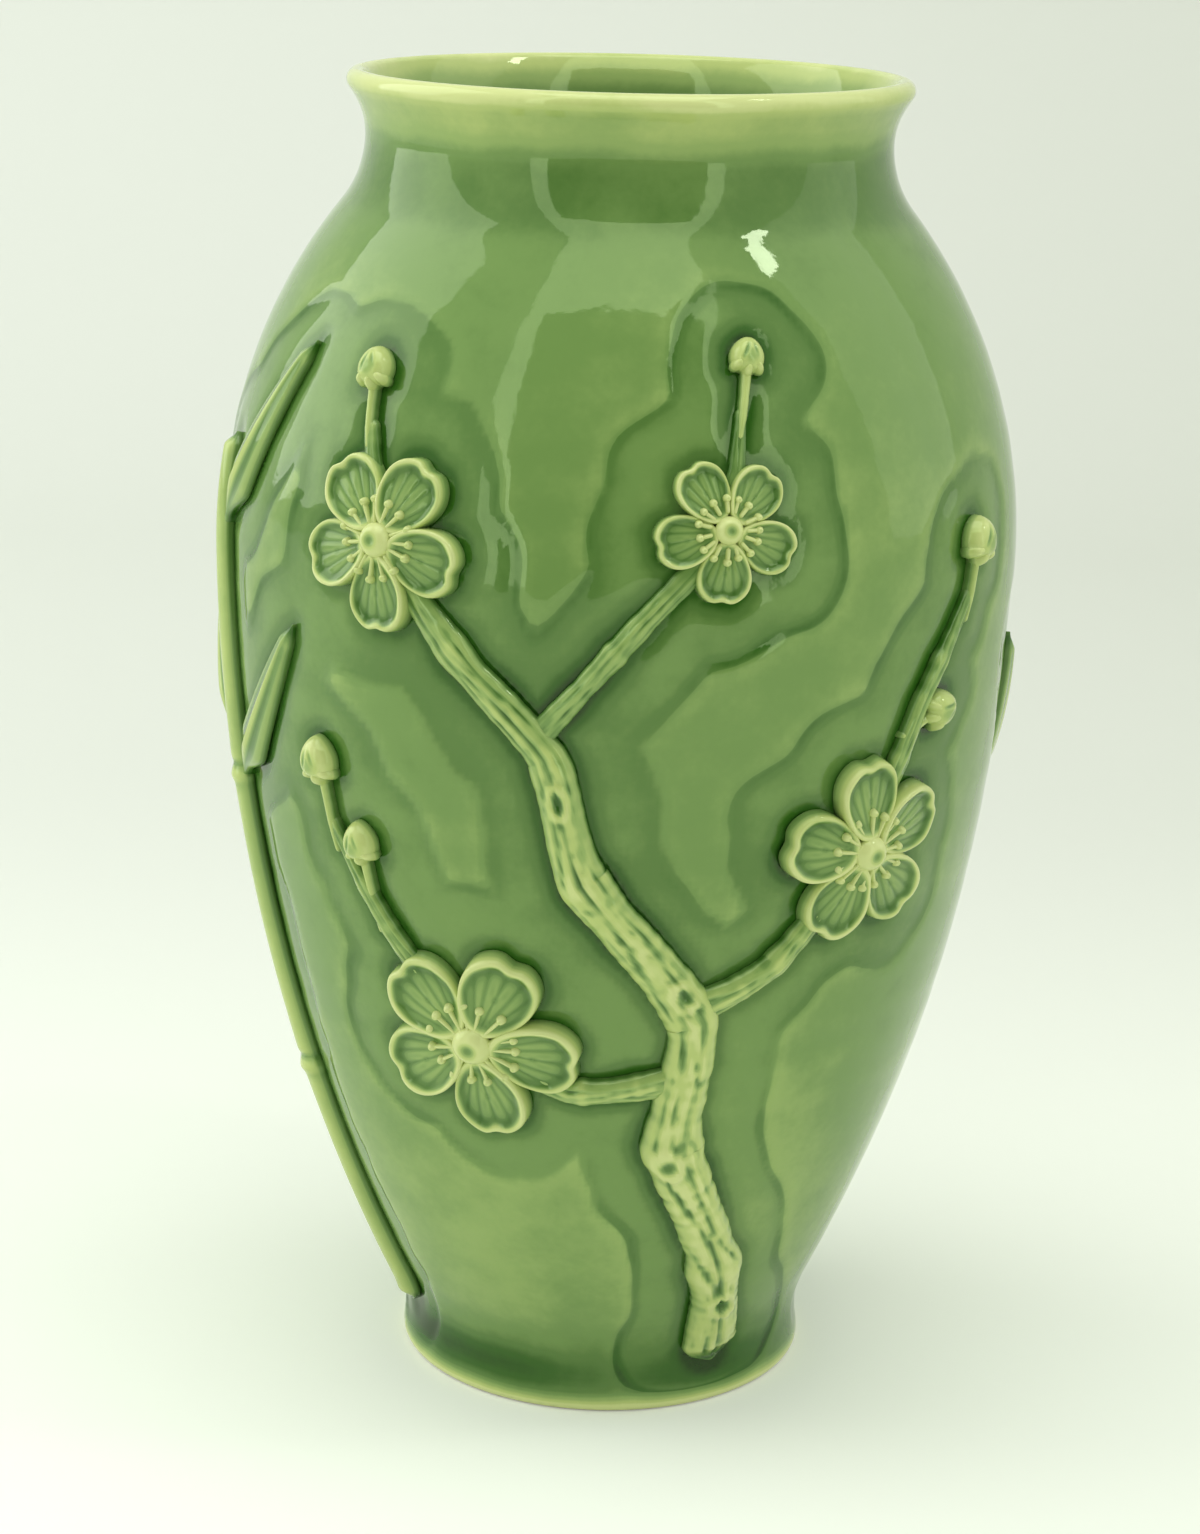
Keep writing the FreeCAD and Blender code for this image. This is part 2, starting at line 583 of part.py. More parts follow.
def make_bamboo():
    left = make_culm("bamboo_culm_left", LEFT_CULM_SHARES, (0.26, 0.49))
    right = make_culm("bamboo_culm_right", RIGHT_CULM_SHARES, (0.23, 0.45))
    pieces = [left, right]
    # each leaf's height share, where it leaves its culm's middle line, and its heading
    left_leaves = [(0.475, 52), (0.495, 128), (0.665, 58)]
    right_leaves = [(0.435, 122), (0.455, 48), (0.615, 60)]
    for side, culm, path_shares, leaves in (
        ("left", left, LEFT_CULM_SHARES, left_leaves), ("right", right, RIGHT_CULM_SHARES, right_leaves),
    ):
        for number, (height_share, heading) in enumerate(leaves, start=1):
            azimuth = azimuth_on(path_shares, height_share)
            pieces.append(make_leaf(f"bamboo_leaf_{side}_{number}", azimuth, height_share, heading, [culm]))
    return pieces


subparts = [pot] + make_plum() + make_bamboo()

doc.recompute()
for item in doc.Objects:
    if "Invalid" in item.State or "Error" in item.State:
        raise RuntimeError(f"{item.Name} is not valid after the recompute: {item.State}")
for item in subparts:
    if item.Shape.isNull() or not item.Shape.isValid():
        raise RuntimeError(f"{item.Label} has no valid solid")

os.makedirs("parts", exist_ok=True)
for item in subparts:
    item.Shape.exportStep(f"parts/{item.Label}.step")
    print(item.Label, "solids", len(item.Shape.Solids), "volume", round(item.Shape.Volume, 1))
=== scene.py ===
# %% [markdown]
# # A celadon vase with plum blossom and bamboo in relief
#
# The real object is one thrown and turned pot. Before it was fired, thin pieces of clay were luted to its
# wall: branches, blossoms, buds, bamboo culms and leaves. One glossy green glaze runs over everything. It
# pools dark in the hollows and thins out to a pale green on every crest.
#
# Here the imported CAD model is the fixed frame. Each clay piece is modelled again as a soft form in the
# place of its CAD piece, and one shared glaze reads how high or how hollow the surface is at each vertex.

# %% Load the frame
import math

import bmesh
import bpy
import numpy as np
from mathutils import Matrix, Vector, noise
from mathutils.bvhtree import BVHTree


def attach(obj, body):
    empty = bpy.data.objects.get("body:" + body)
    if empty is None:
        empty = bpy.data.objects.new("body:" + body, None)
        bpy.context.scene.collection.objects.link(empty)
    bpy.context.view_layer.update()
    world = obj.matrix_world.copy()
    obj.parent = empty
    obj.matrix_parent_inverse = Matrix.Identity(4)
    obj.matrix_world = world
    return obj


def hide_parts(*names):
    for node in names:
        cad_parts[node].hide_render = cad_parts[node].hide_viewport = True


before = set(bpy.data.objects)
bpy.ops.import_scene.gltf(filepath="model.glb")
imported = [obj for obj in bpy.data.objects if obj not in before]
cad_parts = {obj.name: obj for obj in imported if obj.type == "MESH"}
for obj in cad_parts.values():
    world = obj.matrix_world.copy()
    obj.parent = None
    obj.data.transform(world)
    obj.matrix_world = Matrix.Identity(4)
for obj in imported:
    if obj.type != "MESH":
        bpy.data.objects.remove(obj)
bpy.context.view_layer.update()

MM = 0.001

# %% [markdown]
# ## The wall that everything follows
#
# A thrown pot's outline is a chain of curves, each running smoothly into the next: a hollow one above the
# foot, a long one up to the belly, a tighter one over the shoulder, and two hollow ones in the neck. They
# could be traced point by point. Tangent arcs need only a few sizes, and every clay piece can ask them
# where the wall is.

# %% The outline's arcs
foot_height = 9 * MM
belly_height = 197 * MM
waist_height = 286 * MM
crest_height = 300 * MM
foot_radius = 47.8 * MM
belly_radius = 90 * MM
waist_radius = 58.6 * MM
foot_curve = 30 * MM
waist_curve = 23.7 * MM
flare_curve = 17 * MM
wall = 4.8 * MM


def tangent_radius(end_radius, end_curve, rise):
    """The radius of the arc that stands upright at the belly and runs into a hollow arc."""
    offset = end_radius + end_curve - belly_radius
    return (offset**2 + rise**2 - end_curve**2) / (2 * (end_curve - offset))


lower_curve = tangent_radius(foot_radius, foot_curve, belly_height - foot_height)
shoulder_curve = tangent_radius(waist_radius, waist_curve, waist_height - belly_height)
foot_join = foot_height + (belly_height - foot_height) * foot_curve / (foot_curve + lower_curve)
waist_join = waist_height - (waist_height - belly_height) * waist_curve / (waist_curve + shoulder_curve)
lip_height = crest_height - wall / 2
flare_end = waist_height + (lip_height - waist_height) * flare_curve / (flare_curve + wall / 2)

# each arc's centre (radius and height), its own radius, its top, and whether it bulges out (1) or in (-1)
ARCS = [
    (foot_radius + foot_curve, foot_height, foot_curve, foot_join, -1),
    (belly_radius - lower_curve, belly_height, lower_curve, belly_height, 1),
    (belly_radius - shoulder_curve, belly_height, shoulder_curve, waist_join, 1),
    (waist_radius + waist_curve, waist_height, waist_curve, waist_height, -1),
    (waist_radius + flare_curve, waist_height, flare_curve, flare_end, -1),
]
print("Arcs of", [round(radius / MM, 1) for _, _, radius, _, _ in ARCS], "mm")

# %% [markdown]
# A piece of clay that lies on the wall needs to know how far out the wall is at its height, and which way
# is straight out from it. Both could be read from a finished mesh. The arcs give them exactly, and before
# any mesh is there.

# %% Ask for the wall at a height
def wall_at(height, inwards=0.0):
    """The wall's radius at a height, and its outward direction there as (radial, upward)."""
    if height <= foot_height:
        return foot_radius - inwards, 1.0, 0.0
    for centre_r, centre_z, radius, top, bulge in ARCS:
        if height <= top:
            break
    reach = radius - bulge * inwards
    lift = max(-reach, min(reach, height - centre_z))
    run = math.sqrt(reach**2 - lift**2)
    return centre_r + bulge * run, run / reach, bulge * lift / reach


print("The wall's radius half way up:", round(wall_at(crest_height / 2)[0] / MM, 1), "mm")

# %% [markdown]
# Clay is laid along the slope of the wall, so a place is told by how far round and how far along the wall
# it is. The length could be worked out for each arc in turn. A table of many short steps is simpler, and it
# can be read both ways.

# %% A table of lengths along the wall
TABLE_STEPS = 1200
heights = np.linspace(0, flare_end, TABLE_STEPS)
radii = np.array([wall_at(h)[0] for h in heights])
lengths = np.concatenate([[0], np.cumsum(np.hypot(np.diff(heights), np.diff(radii)))])
print("The wall is", round(lengths[-1] / MM, 1), "mm long from foot to flare")


def length_at(height):
    return float(np.interp(height, heights, lengths))


def height_at(length):
    return float(np.interp(length, lengths, heights))


def on_wall(azimuth, height, rise=0.0):
    """The point that stands a rise out from the wall. Azimuth 0 is the front, and it grows to the right."""
    radius, radial, upward = wall_at(height)
    reach = radius + rise * radial
    return Vector((reach * math.sin(azimuth), -reach * math.cos(azimuth), height + rise * upward))


def beside(azimuth, height, right, up):
    """The azimuth and height a short way right and up along the wall from a place on it."""
    new_height = height_at(length_at(height) + up)
    radius = (wall_at(height)[0] + wall_at(new_height)[0]) / 2
    return azimuth + right / radius, new_height


# %% [markdown]
# ## Helpers for the soft clay
#
# Worked clay has no hard corner: it swells, dips and wavers. That could be sculpted by hand. Three small
# formulas, a soft step, a soft hill and smooth noise, give the same forms again on every run.

# %% Soft steps, hills and noise
def smoothstep(low, high, value):
    """A soft step from 0 at low to 1 at high."""
    share = min(max((value - low) / (high - low), 0.0), 1.0)
    return share * share * (3 - 2 * share)


def bump(middle, half_width, value):
    """A soft hill of height 1 round a middle."""
    return math.exp(-(((value - middle) / half_width) ** 2))


def wander(seed, place, scale):
    """Smooth noise from -1 to 1 that is the same on each run."""
    return noise.noise(Vector((place * scale, seed * 7.31, seed * 1.7)))


# %% [markdown]
# Each soft piece stands for one piece of the CAD model: it takes that piece's place and rides on the same
# body. Points that meet are merged first, so that the piece is closed.

# %% Make an object from a bmesh
MERGE = 1e-6


def new_object(name, bm):
    mesh = bpy.data.meshes.new(name)
    bm.to_mesh(mesh)
    bm.free()
    thing = bpy.data.objects.new(name, mesh)
    bpy.context.collection.objects.link(thing)
    return thing


def finished(name, bm, node):
    """The object of a finished piece, which stands for its CAD node."""
    bmesh.ops.remove_doubles(bm, verts=bm.verts, dist=MERGE)
    bmesh.ops.recalc_face_normals(bm, faces=bm.faces)
    piece = new_object(name, bm)
    piece.data.shade_smooth()
    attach(piece, "root")
    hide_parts(node)
    return piece


# %% [markdown]
# A strip of clay is laid on a path through a few chosen places. A curve object could carry the path, but it
# would cut through the round wall. Here the path runs in degrees round the pot and in length along the
# wall, so it always lies on it. It is half smooth and half straight, as stiff clay bends.

# %% Lay a path over the wall
PATH_SAMPLES = 24
PATH_ROUNDNESS = 0.55
PATH_RADIUS = 85 * MM


def smooth_path(points, steps):
    """A path of (azimuth in degrees, height share, girth share) points as evenly spread places."""
    keys = np.array([(math.radians(a), length_at(h * crest_height), g) for a, h, g in points])
    keys = np.vstack([2 * keys[0] - keys[1], keys, 2 * keys[-1] - keys[-2]])
    places = []
    for index in range(1, len(keys) - 2):
        before, first, last, after = keys[index - 1:index + 3]
        for share in np.linspace(0, 1, PATH_SAMPLES, endpoint=False):
            bend = 0.5 * ((2 * first) + (last - before) * share
                          + (2 * before - 5 * first + 4 * last - after) * share**2
                          + (3 * first - before - 3 * last + after) * share**3)
            straight = first + (last - first) * share
            places.append(bend * PATH_ROUNDNESS + straight * (1 - PATH_ROUNDNESS))
    places.append(keys[-2])
    places = np.array(places)
    hops = np.hypot(np.diff(places[:, 0]) * PATH_RADIUS, np.diff(places[:, 1]))
    run = np.concatenate([[0], np.cumsum(hops)])
    even = np.linspace(0, run[-1], steps + 1)
    return np.column_stack([np.interp(even, run, places[:, column]) for column in range(3)]), run[-1]


# %% [markdown]
# Branches and culms are strips of clay, rolled between the hands. A tube round a curve could make them, but
# its back would hang free of the wall. Here a grid's length runs along the path, and its width is wound
# once about it: over the top, and back a little under the wall. Its two long edges meet and are merged, and
# the two open ends are filled.

# %% Roll a strip of clay along a path
EDGE_DIP = 0.6 * MM
TIP_WIDTH = 0.10


def roll_strip(bm, points, half_width, rise, steps, around, shape, base=0.0, sunk=2.2 * MM):
    """A closed strip along a path. shape gives (width share, rise share) at (along, across, distance)."""
    places, reach = smooth_path(points, steps)
    grid = bmesh.ops.create_grid(bm, x_segments=steps, y_segments=around, size=0.5)["verts"]
    for vert in grid:
        step = round((vert.co.x + 0.5) * steps)
        along = step / steps
        turn = (vert.co.y + 0.5) * 2 * math.pi
        azimuth, length, girth = places[step]
        low, high = places[max(step - 1, 0)], places[min(step + 1, steps)]
        radius = wall_at(height_at(length))[0]
        heading = math.atan2(high[1] - low[1], (high[0] - low[0]) * radius)
        across, up = math.cos(turn), math.sin(turn)
        width_share, rise_share = shape(along, across, along * reach)
        end = smoothstep(0, half_width * girth, min(along, 1 - along) * reach)
        aside = across * half_width * girth * width_share * (TIP_WIDTH + (1 - TIP_WIDTH) * end**0.5)
        right, upward = math.sin(heading) * aside, -math.cos(heading) * aside
        if up >= 0:
            lift = rise * girth * rise_share * up**1.1 * end - (1 - up**0.5) * EDGE_DIP
        else:
            lift = -EDGE_DIP + (sunk - EDGE_DIP) * up
        spot = beside(azimuth, height_at(length), right, upward)
        vert.co = on_wall(*spot, base + lift)
    bmesh.ops.remove_doubles(bm, verts=grid, dist=MERGE)
    rims = [edge for edge in bm.edges if edge.is_boundary]
    bmesh.ops.holes_fill(bm, edges=rims, sides=0)
    return reach


# %% [markdown]
# Petals, buttons and buds are pads, pressed flat from a ball. A disc could be thickened, but its rim would
# need care. A sphere that is pressed flat is closed from the start: its upper half becomes the pad's face,
# and its lower half the back, which lies under the wall.

# %% Press a pad of clay onto the wall
BACK_RISE = 0.8 * MM


def press_pad(bm, azimuth, height, outline, lift, rings=20, spokes=48, sunk=2.0 * MM):
    """A closed pad. At a turn and a share of the way out, outline gives (right, up) and lift the rise."""
    pad = bmesh.ops.create_uvsphere(bm, u_segments=spokes, v_segments=rings * 2, radius=1.0)["verts"]
    for vert in pad:
        turn = math.atan2(vert.co.y, vert.co.x)
        tip = math.acos(max(-1.0, min(1.0, vert.co.z))) / (math.pi / 2)
        share = tip if tip <= 1 else 2 - tip
        right, up = outline(turn, share)
        rise = lift(share, turn) if tip <= 1 + 1e-6 else -sunk + BACK_RISE * share
        vert.co = on_wall(*beside(azimuth, height, right, up), rise)


# %% [markdown]
# ## Plum branches
#
# The trunk and twigs are rolls of clay, pinched along their length and scored with a tool to look like old
# bark. Their paths could be drawn as curves by hand. As short tables of places on the wall they are easy to
# read and to move, and twigs can start where the trunk passes.

# %% The wood's paths
# each place is its azimuth in degrees, its height and its girth, the last two as shares
TRUNK = [
    (33, 0.035, 1.05), (26, 0.13, 0.95), (12, 0.25, 1.0), (13, 0.36, 0.85), (-4, 0.47, 0.8),
    (-9, 0.56, 0.65), (-22, 0.63, 0.55), (-33, 0.70, 0.5), (-38, 0.78, 0.34),
]
LOW_TWIG = [(12.5, 0.31, 1.2), (-6, 0.30, 1.0), (-21, 0.335, 0.95), (-34, 0.41, 0.8), (-44, 0.49, 0.6)]
RIGHT_TWIG = [(12.2, 0.365, 1.2), (25, 0.40, 1.05), (38, 0.48, 0.95), (46, 0.58, 0.8), (57, 0.66, 0.55)]
TOP_TWIG = [(-10.9, 0.57, 0.85), (3, 0.655, 0.9), (14, 0.72, 0.8), (17, 0.80, 0.5)]


def way_to(points, steps, station):
    """How far along a path one of its stations lies."""
    places, reach = smooth_path(points, steps)
    aside = (places[:, 0] - math.radians(station[0])) * belly_radius
    away = np.hypot(aside, places[:, 1] - length_at(station[1] * crest_height))
    return np.argmin(away) / steps * reach


print("The trunk is", round(smooth_path(TRUNK, 100)[1] / MM), "mm long")

# %% [markdown]
# Old plum bark runs along the wood in wandering ridges, with a knuckle at every turn and a few knots. A
# modifier could add noise afterwards, but it wouldn't follow the wood. Here the grooves are worked out
# along and across the strip while it is laid.

# %% Shape the bark
KNOT_SIZE = 3.4 * MM
UNDER_BLOSSOM = 21 * MM
FLAT_START = 12 * MM
SPREAD_START = 9 * MM


def groove(value, width):
    """A narrow groove of depth 1 wherever smooth noise passes zero, so that it wanders like bark."""
    return math.exp(-((value / width) ** 2))


def bark(seed, knuckles, ridge, under, knots=()):
    """The shape of a piece of wood, with knuckles at shares of its length and knots at (mm along, across).

    The wood is pressed flat under its blossom and at its lower end, and it tapers towards its tip.
    """
    def shape(along, across, distance):
        knuckle = sum(bump(place, 0.018, along) for place in knuckles)
        ring = 0.05 * wander(seed, distance, 420)
        scored = 0.9 * groove(noise.noise(Vector((across * 1.7, distance * 26, seed))), 0.075)
        scored += 0.5 * groove(noise.noise(Vector((across * 3.3, distance * 52, seed + 9))), 0.06)
        rough = 0.5 * noise.noise(Vector((across * 4, distance * 160, seed + 20)))
        lift = ridge * (rough - scored) * (1 - across**4)
        for knot_at, knot_across in knots:
            away = math.hypot((distance - knot_at * MM) / KNOT_SIZE, (across - knot_across) / 0.42)
            lift += 0.20 * bump(1.0, 0.32, away) - 0.22 * bump(0, 0.5, away)
        taper = 1 - 0.22 * smoothstep(0.8, 1.0, along)
        flat = 1 - 0.52 * math.exp(-(((distance - under) / UNDER_BLOSSOM) ** 4))
        flat *= 0.55 + 0.45 * smoothstep(0, FLAT_START, distance)
        spread = 0.22 * bump(0, SPREAD_START, distance)
        width = (1 + 0.16 * knuckle + 0.08 * wander(seed + 5, distance, 130) + ring + spread) * taper
        return width, (1 + 0.10 * knuckle + lift + ring) * taper * flat
    return shape


# %% [markdown]
# The trunk is more than twice as wide as the twigs, whose lower ends start inside it. All four could be one
# piece. The potter rolls each by itself, so they stay four, and each gets its own bark.

# %% Roll the trunk and the twigs
def wood(node, points, station, half_width, rise, seed, knuckles, steps, ridge=0.16, knots=()):
    bm = bmesh.new()
    under = way_to(points, steps, station)
    reach = roll_strip(bm, points, half_width, rise, steps, 48, bark(seed, knuckles, ridge, under, knots))
    print(node, "is", round(reach / MM), "mm long")
    return finished(node + "_clay", bm, node)


branches = [
    wood("plum_trunk", TRUNK, station=TRUNK[-2], half_width=6.3 * MM, rise=3.9 * MM, seed=1, steps=460,
         knuckles=(0.13, 0.29, 0.43, 0.58, 0.68, 0.8, 0.9), ridge=0.20,
         knots=((22, 0.1), (74, -0.3), (118, 0.25), (171, 0.0))),
    wood("plum_twig_low", LOW_TWIG, station=LOW_TWIG[2], half_width=2.9 * MM, rise=2.2 * MM, seed=2,
         steps=200, knuckles=(0.22, 0.45, 0.66, 0.85)),
    wood("plum_twig_right", RIGHT_TWIG, station=RIGHT_TWIG[2], half_width=2.9 * MM, rise=2.2 * MM, seed=3,
         steps=200, knuckles=(0.2, 0.42, 0.64, 0.84)),
    wood("plum_twig_top", TOP_TWIG, station=TOP_TWIG[2], half_width=2.9 * MM, rise=2.0 * MM, seed=4,
         steps=160, knuckles=(0.3, 0.6, 0.82)),
]

# %% [markdown]
# ## Plum blossoms
#
# Each blossom is five round petals pressed from a mould. A petal is a shallow cup: its rim is rolled and
# stands proud, fine veins fan out from the middle, and each petal laps over the next. One petal could be
# copied round in a ring. Here each of the five is laid on the wall by itself, so that it follows the curve
# under it.

# %% Press the petals
BLOSSOM_REACH = 21.6 * MM
PETAL_DIP = 0.9 * MM
HUB_CLEARANCE = 0.8 * MM


def petal(bm, azimuth, height, heading, reach, hub_rise):
    """One cupped petal, whose tip points along a heading. A smaller one is also flatter."""
    flatter = 0.65 + 0.35 * min(reach / BLOSSOM_REACH, 1)
    middle, half_length, half_width = 0.55 * reach, 0.45 * reach, 0.445 * reach

    def outline(turn, share):
        notch = 0.05 * reach * bump(0, 0.22, math.atan2(math.sin(turn), math.cos(turn))) * share
        along = middle + half_length * math.cos(turn) * share - notch
        narrow = 1 - 0.20 * (1 - math.cos(turn)) * share
        aside = half_width * math.sin(turn) * share * narrow
        return (along * math.cos(heading) - aside * math.sin(heading),
                along * math.sin(heading) + aside * math.cos(heading))

    def lift(share, turn):
        inner = 0.5 * (1 - math.cos(turn)) * share
        cup = 1.5 * MM + hub_rise * 0.35 * inner
        rim = (1.25 - 0.8 * inner) * MM * bump(0.86, 0.14 + 0.06 * inner, share)
        belly = 0.5 * MM * bump(0.0, 0.5, share)
        tilt = 0.7 * MM * math.sin(turn) * share
        spread = math.atan2(share * math.sin(turn), 1.25 + share * math.cos(turn))
        vein = -0.14 * MM * (0.5 + 0.5 * math.cos(spread * 34)) ** 6 * smoothstep(0.9, 0.6, share)
        toe = smoothstep(1.0, 0.90, share)
        ripple = 0.18 * MM * math.sin(5 * turn + heading * 3) * smoothstep(0.5, 1.0, share)
        return ((cup + rim + belly + tilt + vein + ripple) * flatter + PETAL_DIP) * toe - PETAL_DIP

    press_pad(bm, azimuth, height, outline, lift, rings=26, spokes=72)


def blossom(number, station, first_heading, share, wood_rise):
    azimuth, height = math.radians(station[0]), station[1] * crest_height
    bm = bmesh.new()
    for step in range(5):
        heading = math.radians(first_heading + 36 + 72 * step)
        petal(bm, azimuth, height, heading, BLOSSOM_REACH * share, wood_rise + HUB_CLEARANCE)
    piece = finished(f"blossom_{number}_petals_clay", bm, f"blossom_{number}_petals")
    print(piece.name, len(piece.data.polygons), "faces")
    return piece


# number, station on its branch, first heading in degrees, size share, and the wood's rise under it
BLOSSOMS = [
    (1, LOW_TWIG[2], 100, 1.12, 2.28 * MM),
    (2, RIGHT_TWIG[2], 60, 1.0, 2.28 * MM),
    (3, TRUNK[-2], 20, 0.92, 2.2 * MM),
    (4, TOP_TWIG[2], 85, 0.72, 1.92 * MM),
]
petals = [blossom(*facts) for facts in BLOSSOMS]

# %% [markdown]
# The heart of each blossom is a button with a dimple, and stamens round it: thin rolls of clay that end in
# a bead. They could be separate pieces. Like the real ones, they are pressed on as one small group.

# %% Press the hearts and stamens
HEART_BASE = 2.3 * MM
BUTTON_RADIUS = 4.0 * MM
STAMENS = 15
STAMEN_START = 3.2 * MM
BEAD_RADIUS = 1.05 * MM


def round_outline(radius, right=0.0, up=0.0):
    return lambda turn, share: (right + radius * share * math.cos(turn),
                                up + radius * share * math.sin(turn))


def heart(number, station, share, wood_rise):
    azimuth, height = math.radians(station[0]), station[1] * crest_height
    bm = bmesh.new()

    def dome(part, turn):
        dimple = 0.7 * MM * bump(0, 0.4, part)
        return HEART_BASE + (2.6 * MM * (1 - part**3.2) - dimple) * share**0.5 + wood_rise * 0.15

    press_pad(bm, azimuth, height, round_outline(BUTTON_RADIUS * share), dome,
              rings=12, spokes=32, sunk=-0.4 * MM)
    for step in range(STAMENS):
        turn = 2 * math.pi * step / STAMENS + 0.12 * wander(number, step, 1.7)
        far = (8.6 + 1.3 * wander(number + 9, step, 2.3)) * MM * share
        places = []
        for reach in (STAMEN_START, 0.5 * (far + STAMEN_START), far):
            bend = 0.10 * wander(number + 4, step, 3.1) * (reach - STAMEN_START) / far
            right, up = reach * math.cos(turn + bend), reach * math.sin(turn + bend)
            spot = beside(azimuth, height, right, up)
            places.append((math.degrees(spot[0]), spot[1] / crest_height, 1.0))
        roll_strip(bm, places, 0.5 * MM, 0.75 * MM, 14, 12, lambda along, across, distance: (1.0, 1.0),
                   base=HEART_BASE, sunk=1.2 * MM)
        press_pad(bm, azimuth, height, round_outline(BEAD_RADIUS * share**0.5, right, up),
                  lambda part, _: HEART_BASE + 1.25 * MM - 1.5 * MM * part**3,
                  rings=6, spokes=14, sunk=-0.3 * MM)
    return finished(f"blossom_{number}_centre_clay", bm, f"blossom_{number}_centre")


hearts = [heart(number, station, share, wood_rise) for number, station, _, share, wood_rise in BLOSSOMS]
print(len(hearts), "hearts with", STAMENS, "stamens each")

# %% [markdown]
# ## Buds
#
# A bud is a pellet of clay with the seams of its closed petals, held by three small sepals, on a short
# stalk that joins it to the twig. A plain ball would do from afar. The seams and sepals are what make it a
# bud, and each is one more term in the pad's height or one more small pad.

# %% Press the buds
BUD_RADIUS = 5.0 * MM
SEPAL_TURNS = (-0.85, 0.0, 0.85)
# along a stalk: the share of the way from its joint to its bud, and its girth there
STALK = ((-0.5, 0.5), (0.0, 0.8), (0.4, 0.82), (1.0, 0.95))


def stalk_shape(along, across, distance):
    return 1 + 0.07 * wander(8, distance, 500), 1 - 0.05 * across**2


def bud(bm, place, joint, share):
    """A bud at (azimuth, height share), on a stalk from a joint on its twig."""
    azimuth, height = math.radians(place[0]), place[1] * crest_height
    joint_azimuth, joint_height = math.radians(joint[0]), joint[1] * crest_height
    run = (azimuth - joint_azimuth) * wall_at(height)[0]
    away = math.atan2(length_at(height) - length_at(joint_height), run)
    size = BUD_RADIUS * share

    def outline(turn, part):
        pointed = 1 + 0.16 * math.cos(turn) ** 3
        along, aside = size * part * math.cos(turn) * pointed, size * part * 0.94 * math.sin(turn)
        return (along * math.cos(away) - aside * math.sin(away),
                along * math.sin(away) + aside * math.cos(away))

    def lift(part, turn):
        aside, along = part * math.sin(turn), part * math.cos(turn)
        seam = -0.45 * MM * bump(0.32 * (0.9 - along) * 1.1, 0.09, aside) * smoothstep(-0.5, 0.2, along)
        seam -= 0.35 * MM * bump(-0.38 * (0.9 - along), 0.08, aside) * smoothstep(-0.2, 0.4, along)
        return 4.2 * MM * share * max(1 - part**2.6, 0) ** 0.6 + seam * (1 - part) - 0.7 * MM * part**8

    press_pad(bm, azimuth, height, outline, lift, rings=18, spokes=40)
    for side in SEPAL_TURNS:
        turn = away + math.pi + side
        right, up = 0.62 * size * math.cos(turn), 0.62 * size * math.sin(turn)

        def sepal_outline(angle, part, turn=turn, right=right, up=up):
            along, aside = 0.52 * size * part * math.cos(angle), 0.34 * size * part * math.sin(angle)
            return (right + along * math.cos(turn) - aside * math.sin(turn),
                    up + along * math.sin(turn) + aside * math.cos(turn))

        press_pad(bm, azimuth, height, sepal_outline,
                  lambda part, _: (3.3 * (1 - part**2.4) + 0.2) * MM * share, rings=8, spokes=20)
    points = [(joint[0] + (place[0] - joint[0]) * part, joint[1] + (place[1] - joint[1]) * part, girth)
              for part, girth in STALK]
    roll_strip(bm, points, 1.35 * MM, 1.6 * MM, 40, 24, stalk_shape)


def buds(node, facts):
    bm = bmesh.new()
    for place, joint, share in facts:
        bud(bm, place, joint, share)
    print(node, "has", len(facts), "buds")
    return finished(node + "_clay", bm, node)


# each bud's place, its joint on the twig, and its size share
bud_groups = [
    buds("buds_low_twig", [((-38, 0.475), (-36.5, 0.43), 0.9), ((-45, 0.53), (-43.5, 0.485), 1.0)]),
    buds("buds_right_twig", [((50, 0.575), (45, 0.565), 0.9), ((58, 0.69), (56, 0.652), 1.0)]),
    buds("buds_top", [((18.5, 0.83), (17, 0.795), 0.8), ((-39, 0.81), (-37.8, 0.775), 0.9)]),
]

# %% [markdown]
# ## Bamboo
#
# The culms stand at the sides, where the wall turns away. Each is a smooth half-round strip with a raised
# ring at every joint. The rings could be separate loops of clay. As hills in the strip's own width and rise
# they run into it without a seam, as they do when the potter pinches them up.

# %% Roll the culms
# the lower and the upper end of each culm, as azimuth in degrees and height share
LEFT_CULM = [(-68, 0.045), (-76, 0.74)]
RIGHT_CULM = [(98, 0.045), (106, 0.70)]
CULM_TAPER = 0.2


def azimuth_on(path, share):
    (low_azimuth, low), (high_azimuth, high) = path
    return low_azimuth + (high_azimuth - low_azimuth) * (share - low) / (high - low)


def culm(node, path, joints):
    low, high = path[0][1], path[1][1]
    places = []
    for part in np.linspace(0, 1, 8):
        share = low + (high - low) * part
        places.append((azimuth_on(path, share), share, 1.0 - CULM_TAPER * part))

    def shape(along, across, distance):
        share = low + (high - low) * along
        ring = sum(bump(joint, 0.0042, share) for joint in joints)
        dip = sum(bump(joint + 0.0095, 0.003, share) for joint in joints)
        swell = sum(bump(joint, 0.03, share) for joint in joints)
        return 1 + 0.16 * ring + 0.07 * swell - 0.06 * dip, 1 + 0.22 * ring + 0.06 * swell - 0.14 * dip

    bm = bmesh.new()
    reach = roll_strip(bm, places, 4.3 * MM, 2.8 * MM, 360, 36, shape)
    return finished(node + "_clay", bm, node)


culms = [
    culm("bamboo_culm_left", LEFT_CULM, (0.26, 0.49)),
    culm("bamboo_culm_right", RIGHT_CULM, (0.23, 0.45)),
]

